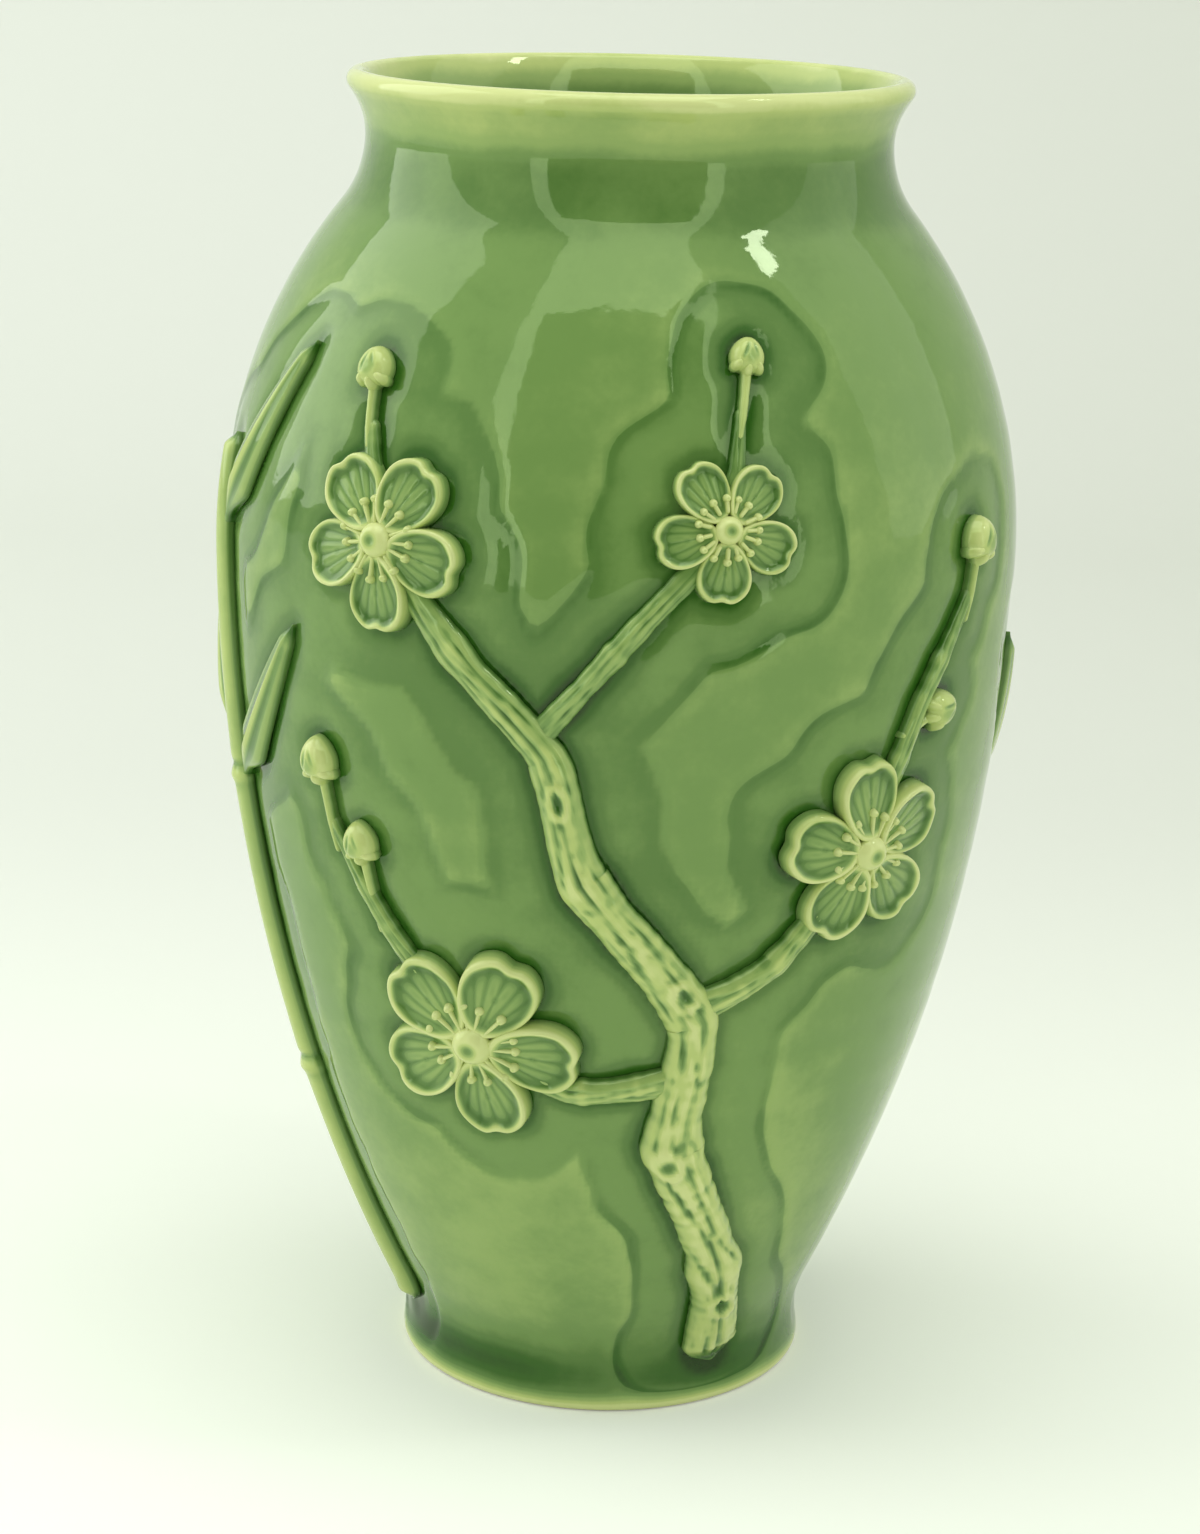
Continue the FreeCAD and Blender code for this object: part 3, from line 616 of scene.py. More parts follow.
# %% [markdown]
# A bamboo leaf is a thin pointed strip with a ridge down the middle and fine lines beside it. It could be
# cut from a flat sheet and bent. The same rolled strip as before makes it, with a width that narrows to a
# stem at one end and to a point at the other.

# %% Cut the leaves
LEAF_LENGTH = 57 * MM
LEAF_SWAY = 1.6 * MM


def leaf(node, path, share, heading):
    """A leaf that leaves its culm at a height share, along a heading in degrees (0 right, 90 up)."""
    azimuth, height = math.radians(azimuth_on(path, share)), share * crest_height
    turn = math.radians(heading)
    places = []
    for part in np.linspace(0, 1, 9):
        reach = LEAF_LENGTH * part
        sway = LEAF_SWAY * math.sin(part * math.pi) * (1 if heading > 90 else -1)
        spot = beside(azimuth, height, reach * math.cos(turn) - sway * math.sin(turn),
                      reach * math.sin(turn) + sway * math.cos(turn))
        places.append((math.degrees(spot[0]), spot[1] / crest_height, 1.0))

    def shape(along, across, distance):
        blade = smoothstep(0.09, 0.34, along) * (1 - max(along - 0.3, 0) / 0.72) ** 0.72
        ridge = 0.34 * bump(0, 0.13, across) * blade
        lines = -0.05 * (0.5 + 0.5 * math.cos(across * 22)) ** 3 * blade
        hollow = -0.16 * (bump(0.42, 0.3, across) + bump(-0.42, 0.3, across)) * blade
        return 0.16 + 0.94 * blade, 0.42 + 0.42 * blade + ridge + lines + hollow

    bm = bmesh.new()
    roll_strip(bm, places, 5.4 * MM, 2.5 * MM, 120, 44, shape)
    return finished(node + "_clay", bm, node)


# each side's culm, and its leaves as (height share, heading)
LEAVES = {
    "left": (LEFT_CULM, [(0.475, 52), (0.495, 128), (0.665, 58)]),
    "right": (RIGHT_CULM, [(0.435, 122), (0.455, 48), (0.615, 60)]),
}
leaves = [leaf(f"bamboo_leaf_{side}_{number}", path, share, heading)
          for side, (path, facts) in LEAVES.items()
          for number, (share, heading) in enumerate(facts, start=1)]
relief = branches + petals + hearts + bud_groups + culms + leaves
print(len(relief), "relief pieces,", sum(len(piece.data.polygons) for piece in relief), "faces")

# %% [markdown]
# ## The pot
#
# The pot is thrown on a wheel, so it is round about its axis and has one section. It could be built from
# cylinders and tubes. One run of points, from under the foot, up the outside, over the lip and down the
# inside, gives the wall its thickness and every edge its rounding.

# %% Draw the section
foot_edge = 1.6 * MM
ring_width = 8 * MM
ring_edge = 1.0 * MM
recess_height = 4 * MM
recess_edge = 1.2 * MM
floor_height = 11 * MM
floor_curve = 9 * MM


def arc_points(centre_r, centre_z, radius, first, last, count):
    turns = np.radians(np.linspace(first, last, count))
    return [(centre_r + radius * math.cos(t), centre_z + radius * math.sin(t)) for t in turns]


def section():
    """The section from the recess under the foot, round the lip, to the middle of the floor inside."""
    ring = foot_radius - ring_width
    points = [(r, recess_height) for r in np.linspace(0, ring - recess_edge, 7)]
    points += arc_points(ring - recess_edge, recess_height - recess_edge, recess_edge, 90, 0, 4)[1:]
    points += [(ring, ring_edge)] + arc_points(ring + ring_edge, ring_edge, ring_edge, 180, 270, 4)[1:]
    points += [(r, 0.0) for r in np.linspace(ring + ring_edge, foot_radius - foot_edge, 6)[1:]]
    points += arc_points(foot_radius - foot_edge, foot_edge, foot_edge, -90, 0, 7)[1:]
    outer = [height_at(length) for length in np.linspace(length_at(foot_edge), lengths[-1], 196)[1:]]
    points += [(wall_at(h)[0], h) for h in outer]
    flare_r, radial, upward = wall_at(flare_end)
    lip_r, lip_z = flare_r - wall / 2 * radial, flare_end - wall / 2 * upward
    start = math.degrees(math.atan2(flare_end - lip_z, flare_r - lip_r))
    points += arc_points(lip_r, lip_z, wall / 2, start, start + 180, 18)[1:]
    for h in np.linspace(points[-1][1], floor_height + floor_curve + 1 * MM, 36)[1:]:
        points.append((wall_at(max(h, foot_join), wall)[0], h))
    corner_r = points[-1][0]
    points += [(corner_r - floor_curve * (1 - math.cos(t)), floor_height + floor_curve * (1 - math.sin(t)))
               for t in np.linspace(0, math.pi / 2, 9)[1:]]
    points += [(r, floor_height) for r in np.linspace(corner_r - floor_curve, 0, 7)[1:]]
    return points


profile = section()
print("The section has", len(profile), "points")

# %% [markdown]
# The wheel turns the section into a pot. A screw modifier would do the same, but the wall is still to be
# pressed point by point, so it is spun into real faces here.

# %% Spin the section
SPIN_STEPS = 330


def spin_pot():
    bm = bmesh.new()
    verts = [bm.verts.new((r, 0, z)) for r, z in profile]
    edges = [bm.edges.new(pair) for pair in zip(verts, verts[1:])]
    bmesh.ops.spin(bm, geom=verts + edges, cent=(0, 0, 0), axis=(0, 0, 1), angle=2 * math.pi,
                   steps=SPIN_STEPS, use_merge=True)
    bmesh.ops.remove_doubles(bm, verts=bm.verts, dist=MERGE)
    bm.verts.index_update()
    return bm


pot_bm = spin_pot()
print("The pot has", len(pot_bm.verts), "vertices")

# %% [markdown]
# The potter's hands leave the wall very slightly uneven. Where the relief is luted on, a tool scrapes the
# ground back: a narrow groove right beside each piece, and a wide shallow patch round it with a wavering
# edge. Carved strokes could be modelled one by one. The distance from each point to the nearest relief
# gives both at once.

# %% Measure how near the relief is
SEARCH_REACH = 24 * MM
GROUND_REACH = 13 * MM


def nearest_to(pieces):
    """A tree of the relief's faces, to find how far each place on the wall is from it."""
    joined = bmesh.new()
    for piece in pieces:
        joined.from_mesh(piece.data)
    tree = BVHTree.FromBMesh(joined)
    joined.free()
    return tree


relief_tree = nearest_to(relief)


def from_relief(place):
    """The distance to the relief, and how far outside the scraped ground a place is (inside is negative)."""
    found = relief_tree.find_nearest(place, SEARCH_REACH)
    distance = found[3] if found[0] else SEARCH_REACH
    waver = 5.5 * MM * noise.noise(place * 34) + 1.5 * MM * noise.noise(place * 110)
    return distance, distance + waver - GROUND_REACH


# %% [markdown]
# The face of the pot is pressed in by a hair all over, so that the waves that the potter's hands leave
# don't carry it past its size, and further near the relief. A displace modifier could do it with a painted
# mask. Moving each point straight towards the axis needs no mask, and it leaves the lip and the foot as
# they are.

# %% Press the wall beside the relief
NEAR_REACH = 5.5 * MM
NEAR_DEPTH = 0.50 * MM
GROUND_DEPTH = 0.45 * MM
GROUND_SLOPE = 1.0 * MM
SETTLED = 0.3 * MM


def press_wall(bm):
    """Move the pot's outer vertices in. Give (distance, ground, past the ground's edge) for each vertex."""
    facts = np.tile((SEARCH_REACH, 0.0, SEARCH_REACH), (len(bm.verts), 1))
    for vert in bm.verts:
        x, y, z = vert.co
        reach = math.hypot(x, y)
        outer = z > foot_edge and reach > wall_at(min(z, flare_end))[0] - 1.5 * MM
        if not outer or reach == 0:
            continue
        thrown = 0.28 * MM * noise.noise(vert.co * 14) + 0.10 * MM * noise.noise(Vector((0, 0, z * 150)))
        distance, past = from_relief(vert.co)
        near = 1 - smoothstep(0, NEAR_REACH, distance)
        ground = 1 - smoothstep(-GROUND_SLOPE, GROUND_SLOPE, past)
        facts[vert.index] = (distance, ground, past)
        fade = smoothstep(0, 6 * MM, z - foot_edge) * smoothstep(0, 8 * MM, flare_end - z)
        moved = thrown - SETTLED - NEAR_DEPTH * near - GROUND_DEPTH * ground
        vert.co += Vector((x / reach, y / reach, 0)) * moved * fade
    return facts


near_relief = press_wall(pot_bm)
pot = finished("vase_body_clay", pot_bm, "vase_body")
gap, ground, past = near_relief.T
print(round((ground > 0.5).mean() * 100), "% of the pot's vertices lie on scraped ground")

# %% [markdown]
# ## How thick the glaze lies
#
# A glaze is a glass that flows when it is fired. It drains off crests and edges, where the clay shows
# through pale, and it gathers in hollows, where it is deep and dark. A shader's pointiness isn't kept
# outside the render, so the thickness is worked out once per vertex, from how far the vertex stands out of
# its neighbours. On the pot the stored value also carries painted light low down and painted shade inside.

# %% Even out values over a mesh
def evened(mesh, values, rounds):
    """The values, one for each vertex, after each moves half way to its neighbours' mean a few times."""
    ends = np.empty(len(mesh.edges) * 2, dtype=np.int64)
    mesh.edges.foreach_get("vertices", ends)
    first, last = ends.reshape(-1, 2).T
    neighbours = np.bincount(ends, minlength=len(values)).clip(1)
    neighbours = neighbours.reshape(-1, *[1] * (values.ndim - 1))
    for _ in range(rounds):
        total = np.zeros_like(values)
        np.add.at(total, first, values[last])
        np.add.at(total, last, values[first])
        values = 0.5 * values + 0.5 * total / neighbours
    return values


# %% [markdown]
# A point on a crest stands out from the mean place of its neighbours, and a point in a groove lies under
# it. A bent surface could be measured from the angles of its faces. The distance to the smoothed surface
# says the same in real millimetres, so one scale serves for fine veins and wide folds.

# %% Measure crests and hollows
def standing_out(mesh, rounds):
    """How far each vertex stands out from its neighbours along its normal, and where the vertices are."""
    count = len(mesh.vertices)
    places, normals = np.empty(count * 3), np.empty(count * 3)
    mesh.vertices.foreach_get("co", places)
    mesh.vertices.foreach_get("normal", normals)
    places, normals = places.reshape(-1, 3), normals.reshape(-1, 3)
    proud = ((places - evened(mesh, places, rounds)) * normals).sum(axis=1)
    return evened(mesh, proud, 2), places


def store(mesh, name, values):
    attribute = mesh.attributes.new(name, "FLOAT", "POINT")
    attribute.data.foreach_set("value", values.astype(np.float32))


def hill(value, middle, half_width):
    """The soft hill again, for a whole array."""
    return np.exp(-(((value - middle) / half_width) ** 2))


# %% [markdown]
# On the relief the glaze is thin on every ridge and deep in every groove. It is also thinner the higher a
# piece stands, and deep where the piece meets the wall. One thickness for each piece would look painted.
# The stored value is 0 where the glaze is deepest and 1 where it is thinnest.

# %% Store the glaze on the relief
THIN_RELIEF = 0.49
PROUD_RELIEF = 0.14 * MM
HIGH_RELIEF = 3.6 * MM
RELIEF_ROOT = 0.7 * MM

for piece in relief:
    proud, places = standing_out(piece.data, 14)
    rise = np.hypot(places[:, 0], places[:, 1]) - np.interp(places[:, 2], heights, radii)
    values = THIN_RELIEF + 0.34 * np.tanh(proud / PROUD_RELIEF)
    values += 0.20 * (np.clip(rise / HIGH_RELIEF, 0, 1) - 0.4)
    values -= 0.26 * np.clip(1 - rise / RELIEF_ROOT, 0, 1)
    store(piece.data, "glaze_thin_and_painted_light", np.clip(values, 0, 1))
print("Glaze on the last leaf from", round(values.min(), 2), "to", round(values.max(), 2))

# %% [markdown]
# On the pot the glaze runs down in faint streaks. It is thin on the lip and on the foot's edge, and it
# pools above the foot and beside the relief, more in some places than in others. The colour is also paler
# just under the flare, paler low down as painted light thrown up by the floor, and darker inside as painted
# shade. Each of these is a term of its own in one sum, so each can be made stronger or weaker by itself.

# %% Store the glaze on the pot
THIN_OUTSIDE = 0.52
# the inside's level lies below the outside's as painted shade
THIN_INSIDE_SHADED = 0.44
PROUD_POT = 0.2 * MM

proud, places = standing_out(pot.data, 10)
x, y, z = places.T
# the inside is painted darker than the outside, as painted shade inside the pot, a little less near the lip
inside = (z > floor_height - MM) & (np.hypot(x, y) < np.interp(z, heights, radii) - 2 * MM)
values = np.where(inside, THIN_INSIDE_SHADED + 0.10 * (z > 270 * MM), THIN_OUTSIDE + 0.11 * proud / PROUD_POT)
patch = np.array([0.5 + noise.noise(Vector(place) * 34) for place in places])
values += 0.06 * np.array([noise.noise(Vector((a * 30, b * 30, c * 6))) for a, b, c in places])
# a little thinner round the shoulder, and paler low down as painted light that the floor throws up
values += 0.01 * hill(z, 245 * MM, 20 * MM) + 0.10 * hill(z, 50 * MM, 50 * MM)
# pooled beside the relief, and a little on all of the scraped ground
values -= (0.12 + 0.30 * patch) * np.exp(-((gap / (2 * MM)) ** 1.2)) + 0.03 * hill(gap, 0, 7 * MM)
values -= (0.04 + 0.06 * patch) * ground
# thin on the lip's crest, and paler just under its flare
values += 0.40 * hill(z, crest_height, 4.2 * MM) + 0.34 * hill(z, 291.5 * MM, 5 * MM) * ~inside
# thin on the foot's edge, and pooled in the hollow above it
values += 0.85 * hill(z, 0, 2.6 * MM) - (0.20 + 0.22 * patch) * hill(z, 9 * MM, 5.5 * MM)
# the stored value holds the glaze's thickness and, on the pot, painted light low down and painted shade
# inside
store(pot.data, "glaze_thin_and_painted_light", np.clip(values, 0, 1))
store(pot.data, "ground_edge", evened(pot.data, past, 5) / MM)
print("Glaze on the pot from", round(values.min(), 2), "to", round(values.max(), 2))

# %% [markdown]
# ## The glaze
#
# One node group turns the stored thickness into a colour, a roughness and a faint unevenness, and each
# material places it with its own values. Four full materials could be drawn instead. Sharing the group
# keeps them one glaze. The gloss itself comes from the shader in each material.

# %% Helpers for node trees
def new_group(name, inputs, outputs):
    group = bpy.data.node_groups.new(name, "ShaderNodeTree")
    for kind, direction in ((inputs, "INPUT"), (outputs, "OUTPUT")):
        for label, socket in kind:
            group.interface.new_socket(name=label, in_out=direction, socket_type=socket)
    return group, group.nodes.new("NodeGroupInput"), group.nodes.new("NodeGroupOutput")


def new_material(name):
    material = bpy.data.materials.new(name)
    material.use_nodes = True
    return material, material.node_tree, material.node_tree.nodes["Principled BSDF"]


def linked(tree, source, target):
    tree.links.new(source, target)


def math_node(tree, operation, first, second, clamp=False):
    node = tree.nodes.new("ShaderNodeMath")
    node.operation, node.use_clamp = operation, clamp
    for socket, value in zip(node.inputs, (first, second)):
        if isinstance(value, (int, float)):
            socket.default_value = value
        else:
            linked(tree, value, socket)
    return node.outputs[0]


def noise_node(tree, place, scale, detail, distortion=0.0):
    node = tree.nodes.new("ShaderNodeTexNoise")
    node.inputs["Scale"].default_value = scale
    node.inputs["Detail"].default_value = detail
    node.inputs["Distortion"].default_value = distortion
    linked(tree, place, node.inputs["Vector"])
    return node.outputs["Fac"]


def eased(tree, value, low, high, first, last):
    """A soft step: first where the value is below low, and last where it is above high."""
    node = tree.nodes.new("ShaderNodeMapRange")
    node.interpolation_type = "SMOOTHSTEP"
    linked(tree, value, node.inputs["Value"])
    for socket, number in (("From Min", low), ("From Max", high), ("To Min", first), ("To Max", last)):
        node.inputs[socket].default_value = number
    return node.outputs["Result"]


def object_place(tree):
    return tree.nodes.new("ShaderNodeTexCoord").outputs["Object"]


# %% [markdown]
# Seven colours, from nearly black green to a pale yellow green, lie along the stored thickness. Two would
# give a flat blend, but a real glaze passes through a clear mid green. Clouds, mottles and specks shift the
# thickness a little, as they do on a fired pot.

# %% Build the shared glaze group
# the glaze's colour by its stored value, from deep in a hollow (0) to thin on an edge (1)
GLAZE_COLOURS = [
    (0.00, (0.004, 0.034, 0.001)),
    (0.22, (0.030, 0.115, 0.010)),
    (0.42, (0.100, 0.205, 0.045)),
    (0.55, (0.170, 0.295, 0.078)),
    (0.72, (0.305, 0.435, 0.130)),
    (0.88, (0.500, 0.600, 0.195)),
    (1.00, (0.660, 0.720, 0.300)),
]


def glaze_group():
    group, given, result = new_group(
        "celadon_glaze",
        [("Thin_and_painted_light", "NodeSocketFloat"), ("Mottling", "NodeSocketFloat"), ("Shift", "NodeSocketFloat"),
         ("Pool", "NodeSocketFloat")],
        [("Color", "NodeSocketColor"), ("Roughness", "NodeSocketFloat"), ("Height", "NodeSocketFloat")])
    place = object_place(group)
    cloud = noise_node(group, place, 16, 4, 0.6)
    fine = noise_node(group, place, 90, 5)
    speck = noise_node(group, place, 520, 3)
    mottle = math_node(group, "ADD", math_node(group, "SUBTRACT", cloud, 0.5),
                       math_node(group, "MULTIPLY", math_node(group, "SUBTRACT", fine, 0.5), 0.6))
    mottle = math_node(group, "ADD", mottle,
                       math_node(group, "MULTIPLY", math_node(group, "SUBTRACT", speck, 0.5), 0.22))
    thin = math_node(group, "ADD", given.outputs["Thin_and_painted_light"],
                     math_node(group, "MULTIPLY", mottle, given.outputs["Mottling"]))
    thin = math_node(group, "SUBTRACT", thin, given.outputs["Pool"])
    thin = math_node(group, "ADD", thin, given.outputs["Shift"], clamp=True)
    ramp = group.nodes.new("ShaderNodeValToRGB")
    ramp.color_ramp.interpolation = "EASE"
    while len(ramp.color_ramp.elements) < len(GLAZE_COLOURS):
        ramp.color_ramp.elements.new(0.5)
    for element, (position, colour) in zip(ramp.color_ramp.elements, GLAZE_COLOURS):
        element.position, element.color = position, (*colour, 1)
    linked(group, thin, ramp.inputs["Fac"])
    linked(group, ramp.outputs["Color"], result.inputs["Color"])
    rough = math_node(group, "ADD", math_node(group, "MULTIPLY", fine, 0.05), 0.02)
    linked(group, rough, result.inputs["Roughness"])
    height = math_node(group, "ADD", noise_node(group, place, 60, 2),
                       math_node(group, "MULTIPLY", noise_node(group, place, 340, 2), 0.12))
    linked(group, height, result.inputs["Height"])
    return group


celadon = glaze_group()
print("The glaze group has", len(celadon.nodes), "nodes")

# %% [markdown]
# Where the scraped ground ends, the glaze stops against the little step and leaves a crisp dark line,
# strong in some places and gone in others. The step in the mesh alone is too soft for that. The distance to
# the ground's edge is stored as well, and two soft steps cut a narrow line out of it.

# %% Build the glaze materials
GLASS_IOR = 1.52
GLOSS_TINT = (0.86, 1.0, 0.66, 1)
BUMP_STRENGTH = 0.5


def attribute_of(tree, name):
    node = tree.nodes.new("ShaderNodeAttribute")
    node.attribute_name = name
    return node.outputs["Fac"]


def pool_at_edge(tree, strength):
    """The dark line of pooled glaze where the scraped ground ends. The spans are in millimetres."""
    edge = attribute_of(tree, "ground_edge")
    inner = eased(tree, edge, -3.2, -0.2, 0.0, 1.0)
    outer = eased(tree, edge, -0.1, 0.45, 1.0, 0.0)
    patches = eased(tree, noise_node(tree, object_place(tree), 17, 2), 0.40, 0.62, 0.0, strength)
    return math_node(tree, "MULTIPLY", math_node(tree, "MULTIPLY", inner, outer), patches)


def glaze(name, mottling, shift, unevenness, pooling=0.0):
    material, tree, shader = new_material(name)
    body = tree.nodes.new("ShaderNodeGroup")
    body.node_tree = celadon
    body.inputs["Mottling"].default_value = mottling
    body.inputs["Shift"].default_value = shift
    linked(tree, attribute_of(tree, "glaze_thin_and_painted_light"), body.inputs["Thin_and_painted_light"])
    if pooling:
        linked(tree, pool_at_edge(tree, pooling), body.inputs["Pool"])
    linked(tree, body.outputs["Color"], shader.inputs["Base Color"])
    linked(tree, body.outputs["Roughness"], shader.inputs["Roughness"])
    waves = tree.nodes.new("ShaderNodeBump")
    waves.inputs["Strength"].default_value = BUMP_STRENGTH
    waves.inputs["Distance"].default_value = unevenness
    linked(tree, body.outputs["Height"], waves.inputs["Height"])
    linked(tree, waves.outputs["Normal"], shader.inputs["Normal"])
    shader.inputs["IOR"].default_value = GLASS_IOR
    shader.inputs["Specular Tint"].default_value = GLOSS_TINT
    print(name, "has", len(tree.nodes), "nodes")
    return material


pot_glaze = glaze("pot_celadon", mottling=0.22, shift=0.0, unevenness=0.30 * MM, pooling=0.20)
branch_glaze = glaze("branch_celadon", mottling=0.18, shift=0.02, unevenness=0.12 * MM)
blossom_glaze = glaze("blossom_celadon", mottling=0.14, shift=0.06, unevenness=0.10 * MM)
bamboo_glaze = glaze("bamboo_celadon", mottling=0.14, shift=0.0, unevenness=0.12 * MM)

# %% [markdown]
# A pot can't stand in the kiln on wet glaze, so the face that it stands on is wiped. It stays matt and
# creamy. One flat colour would do for so small a face. A fine grain costs one noise and one ramp more.

# %% Build the bare clay
bare_clay, clay_tree, clay_shader = new_material("bare_clay")
grain = noise_node(clay_tree, object_place(clay_tree), 700, 4)
clay_colour = clay_tree.nodes.new("ShaderNodeValToRGB")
clay_colour.color_ramp.elements[0].color = (0.42, 0.36, 0.26, 1)
clay_colour.color_ramp.elements[1].color = (0.66, 0.60, 0.47, 1)
linked(clay_tree, grain, clay_colour.inputs["Fac"])
linked(clay_tree, clay_colour.outputs["Color"], clay_shader.inputs["Base Color"])
clay_shader.inputs["Roughness"].default_value = 0.85
print("bare_clay has", len(clay_tree.nodes), "nodes")

# %% [markdown]
# Each kind of piece gets its own glaze, so that blossoms can be a little paler than bark. The wiped ring is
# part of the pot. It could be a piece of its own, but on the real pot it is the same clay, so its faces
# only get another material.

# %% Put the materials on
WIPED_BELOW = 0.5 * MM

for pieces, material in ((branches, branch_glaze), (petals + hearts + bud_groups, blossom_glaze),
                         (culms + leaves, bamboo_glaze), ([pot], pot_glaze)):
    for piece in pieces:
        piece.data.materials.append(material)
pot.data.materials.append(bare_clay)
wiped = [face for face in pot.data.polygons if face.center.z < WIPED_BELOW]
for face in wiped:
    face.material_index = 1
print(len(wiped), "faces of the foot ring are wiped bare")

# %% [markdown]
# ## Floor, light and camera
#
# The vase stands on a pale sweep, as in a studio: the floor runs up into the backdrop with no edge. A plane
# and a wall would show a line behind the vase. The paper is painted a little greyer to the right and to the
# back, as painted shade where less lamp light falls. To the camera and in the gloss it also glows a little,
# and more so far off, where no lamp reaches it.

# %% Lay the sweep
HALF_SIDE = 6.0
FLOOR_BACK = 0.9
BEND = 0.5
SWEEP_TOP = 3.0


def looked_at(tree):
    """1 for the rays that look at a thing, straight, in a gloss or through glass, and 0 for the others."""
    ray = tree.nodes.new("ShaderNodeLightPath")
    looking = math_node(tree, "MAXIMUM", ray.outputs["Is Camera Ray"], ray.outputs["Is Glossy Ray"])
    return math_node(tree, "MAXIMUM", looking, ray.outputs["Is Transmission Ray"])


def vector_node(tree, operation, value):
    node = tree.nodes.new("ShaderNodeVectorMath")
    node.operation = operation
    linked(tree, value, node.inputs[0])
    return node


def stage_material(name, colour, shaded_right_colour):
    """Matt paper, greyer to the right and to the back as painted shade, from one colour to another."""
    material, tree, shader = new_material(name)
    shader.inputs["Roughness"].default_value = 0.7
    shader.inputs["Specular IOR Level"].default_value = 0.1
    place = object_place(tree)
    split = tree.nodes.new("ShaderNodeSeparateXYZ")
    linked(tree, place, split.inputs[0])
    mix = tree.nodes.new("ShaderNodeMix")
    mix.data_type = "RGBA"
    mix.inputs["A"].default_value = (*colour, 1)
    mix.inputs["B"].default_value = (*shaded_right_colour, 1)
    # painted shade: the paper greys towards the right
    linked(tree, eased(tree, split.outputs["X"], -0.5, 0.7, 0.0, 1.0), mix.inputs["Factor"])
    shade = vector_node(tree, "SCALE", mix.outputs["Result"])
    # painted shade: the paper darkens towards the back
    linked(tree, eased(tree, split.outputs["Y"], -0.15, 0.5, 1.0, 0.75), shade.inputs["Scale"])
    linked(tree, shade.outputs[0], shader.inputs["Base Color"])
    linked(tree, shade.outputs[0], shader.inputs["Emission Color"])
    away = vector_node(tree, "LENGTH", place).outputs["Value"]
    glow = math_node(tree, "MULTIPLY", looked_at(tree), eased(tree, away, 1.6, 2.6, 0.21, 0.45))
    linked(tree, glow, shader.inputs["Emission Strength"])
    return material


def sweep():
    bm = bmesh.new()
    outline = [(-HALF_SIDE, 0.0), (FLOOR_BACK, 0.0)]
    outline += arc_points(FLOOR_BACK, BEND, BEND, -90, 0, 13)[1:]
    outline.append((FLOOR_BACK + BEND, SWEEP_TOP))
    verts = [bm.verts.new((-HALF_SIDE, y, z)) for y, z in outline]
    edges = [bm.edges.new(pair) for pair in zip(verts, verts[1:])]
    pulled = bmesh.ops.extrude_edge_only(bm, edges=edges)["geom"]
    bmesh.ops.translate(bm, verts=[v for v in pulled if isinstance(v, bmesh.types.BMVert)],
                        vec=(2 * HALF_SIDE, 0, 0))
    bmesh.ops.recalc_face_normals(bm, faces=bm.faces)
    paper = new_object("paper_sweep", bm)
    paper.data.shade_smooth()
    paper.data.materials.append(stage_material("sweep_paper", (0.84, 0.875, 0.79), (0.76, 0.79, 0.70)))
    print("The sweep has", len(paper.data.polygons), "faces")


sweep()

# %% [markdown]
# Tall soft lamps stand at both sides, the left one much stronger, a wide one hangs overhead, and a small
# one stands high on the right like a window and leaves a bright spot on the shoulder. A picture of a room
# could light the vase, but each lamp here can be moved and dimmed by itself.

# %% Hang the lamps
# name, place, the place that it is turned to, width and height in metres, and power in watts
LAMPS = [
    ("softbox_left", (-1.45, 0.25, 0.95), (0, 0, 0.17), 1.2, 1.8, 12.5),
    ("softbox_right", (1.45, 0.15, 0.95), (0, 0, 0.17), 1.0, 1.8, 3.2),
    ("small_window", (1.28, -0.37, 2.05), (0, 0, 0.17), 0.2, 0.28, 2.4),
    ("overhead", (0.0, -0.1, 1.9), (0, 0, 0.15), 1.2, 0.9, 8),
]


def lamp(name, place, target, width, height, power):
    data = bpy.data.lights.new(name, "AREA")
    data.shape = "RECTANGLE"
    data.size = width
    data.size_y = height
    data.energy = power
    light = bpy.data.objects.new(name, data)
    bpy.context.collection.objects.link(light)
    light.location = place
    light.rotation_euler = (Vector(target) - Vector(place)).to_track_quat("-Z", "Y").to_euler()
    print(name, "gives", power, "W")


for facts in LAMPS:
    lamp(*facts)

# %% [markdown]
# A glossy pot shows the room in its middle. Behind the camera stands a dark card, with a pale scrim round
# it. The world itself could be darker there. As cards they only show in the gloss, so they take no light
# away.

# %% Stand the card and the scrim behind the camera
def card(name, half_width, top, back, colour, strength):
    bm = bmesh.new()
    bmesh.ops.create_grid(bm, x_segments=1, y_segments=1, size=1.0)
    for vert in bm.verts:
        vert.co = (vert.co.x * half_width, back, (vert.co.y + 1) / 2 * top)
    flag = new_object(name, bm)
    flag.visible_camera = flag.visible_diffuse = flag.visible_shadow = flag.visible_transmission = False
    material, _, shader = new_material(name)
    shader.inputs["Base Color"].default_value = (*colour, 1)
    shader.inputs["Emission Color"].default_value = (*colour, 1)
    shader.inputs["Emission Strength"].default_value = strength
    flag.data.materials.append(material)
    print(name, "is", 2 * half_width, "by", top, "m")


card("dark_card", half_width=1.0, top=2.3, back=-1.50, colour=(0.03, 0.04, 0.03), strength=0.2)
card("pale_scrim", half_width=1.4, top=5.0, back=-1.60, colour=(0.95, 1.0, 0.88), strength=1.85)

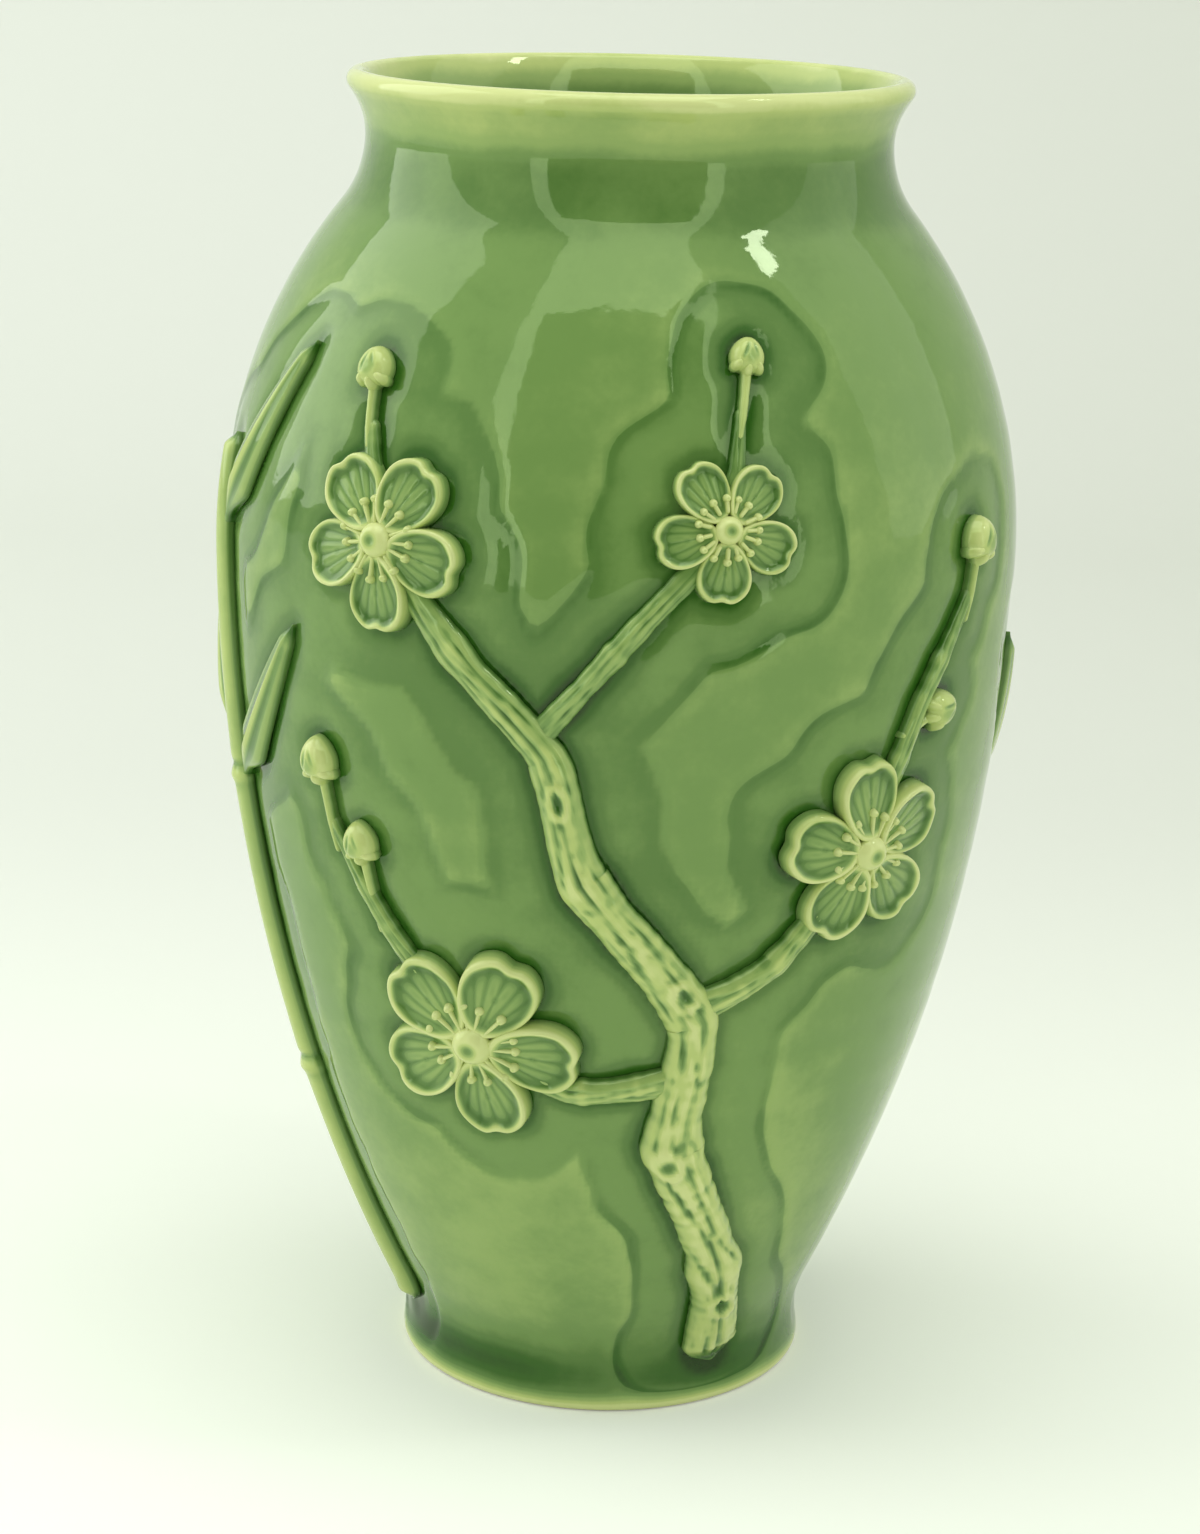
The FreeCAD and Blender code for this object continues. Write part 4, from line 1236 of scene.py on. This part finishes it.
# %% [markdown]
# The room itself gives soft light from all sides. What the camera and the gloss see of it is a little
# greener than the light that it gives. One colour for both would tint the floor as well, so the world mixes
# two.

# %% Fill the room with soft light
GIVEN_COLOUR, GIVEN_STRENGTH = (0.94, 0.97, 0.93, 1), 0.80
SEEN_COLOUR, SEEN_STRENGTH = (0.74, 0.78, 0.71, 1), 1.0

room = bpy.data.worlds.new("studio_room")
bpy.context.scene.world = room
room.use_nodes = True
tree = room.node_tree
given = tree.nodes["Background"]
given.inputs["Color"].default_value = GIVEN_COLOUR
given.inputs["Strength"].default_value = GIVEN_STRENGTH
seen = tree.nodes.new("ShaderNodeBackground")
seen.inputs["Color"].default_value = SEEN_COLOUR
seen.inputs["Strength"].default_value = SEEN_STRENGTH
choose = tree.nodes.new("ShaderNodeMixShader")
linked(tree, looked_at(tree), choose.inputs[0])
linked(tree, given.outputs[0], choose.inputs[1])
linked(tree, seen.outputs[0], choose.inputs[2])
linked(tree, choose.outputs[0], tree.nodes["World Output"].inputs["Surface"])
print("The room gives", GIVEN_STRENGTH, "and shows", SEEN_STRENGTH)

# %% [markdown]
# The camera stands where the photograph was taken from: a short way in front, a little above the lip,
# looking down. It could be aimed at a target. Pitch, pan and roll as numbers were fitted to the
# photographed outline, and the roll stands for the lean of the real pot.

# %% Set the camera
CAMERA_PLACE = (0, -0.736, 0.352)
LENS = 77.2
SENSOR = 36
PITCH = 0.279
PAN = -0.0044
ROLL = 0.024

camera_data = bpy.data.cameras.new("photo_camera")
camera_data.lens = LENS
camera_data.sensor_width = SENSOR
camera = bpy.data.objects.new("photo_camera", camera_data)
bpy.context.collection.objects.link(camera)
camera.location = CAMERA_PLACE
view = Vector((math.sin(PAN) * math.cos(PITCH), math.cos(PAN) * math.cos(PITCH), -math.sin(PITCH)))
facing = view.to_track_quat("-Z", "Y").to_matrix().to_4x4()
camera.rotation_euler = (facing @ facing.Rotation(ROLL, 4, "Z")).to_euler()
bpy.context.scene.camera = camera
bpy.context.scene.view_settings.view_transform = "Standard"
print("The camera looks down by", round(math.degrees(PITCH), 1), "degrees")
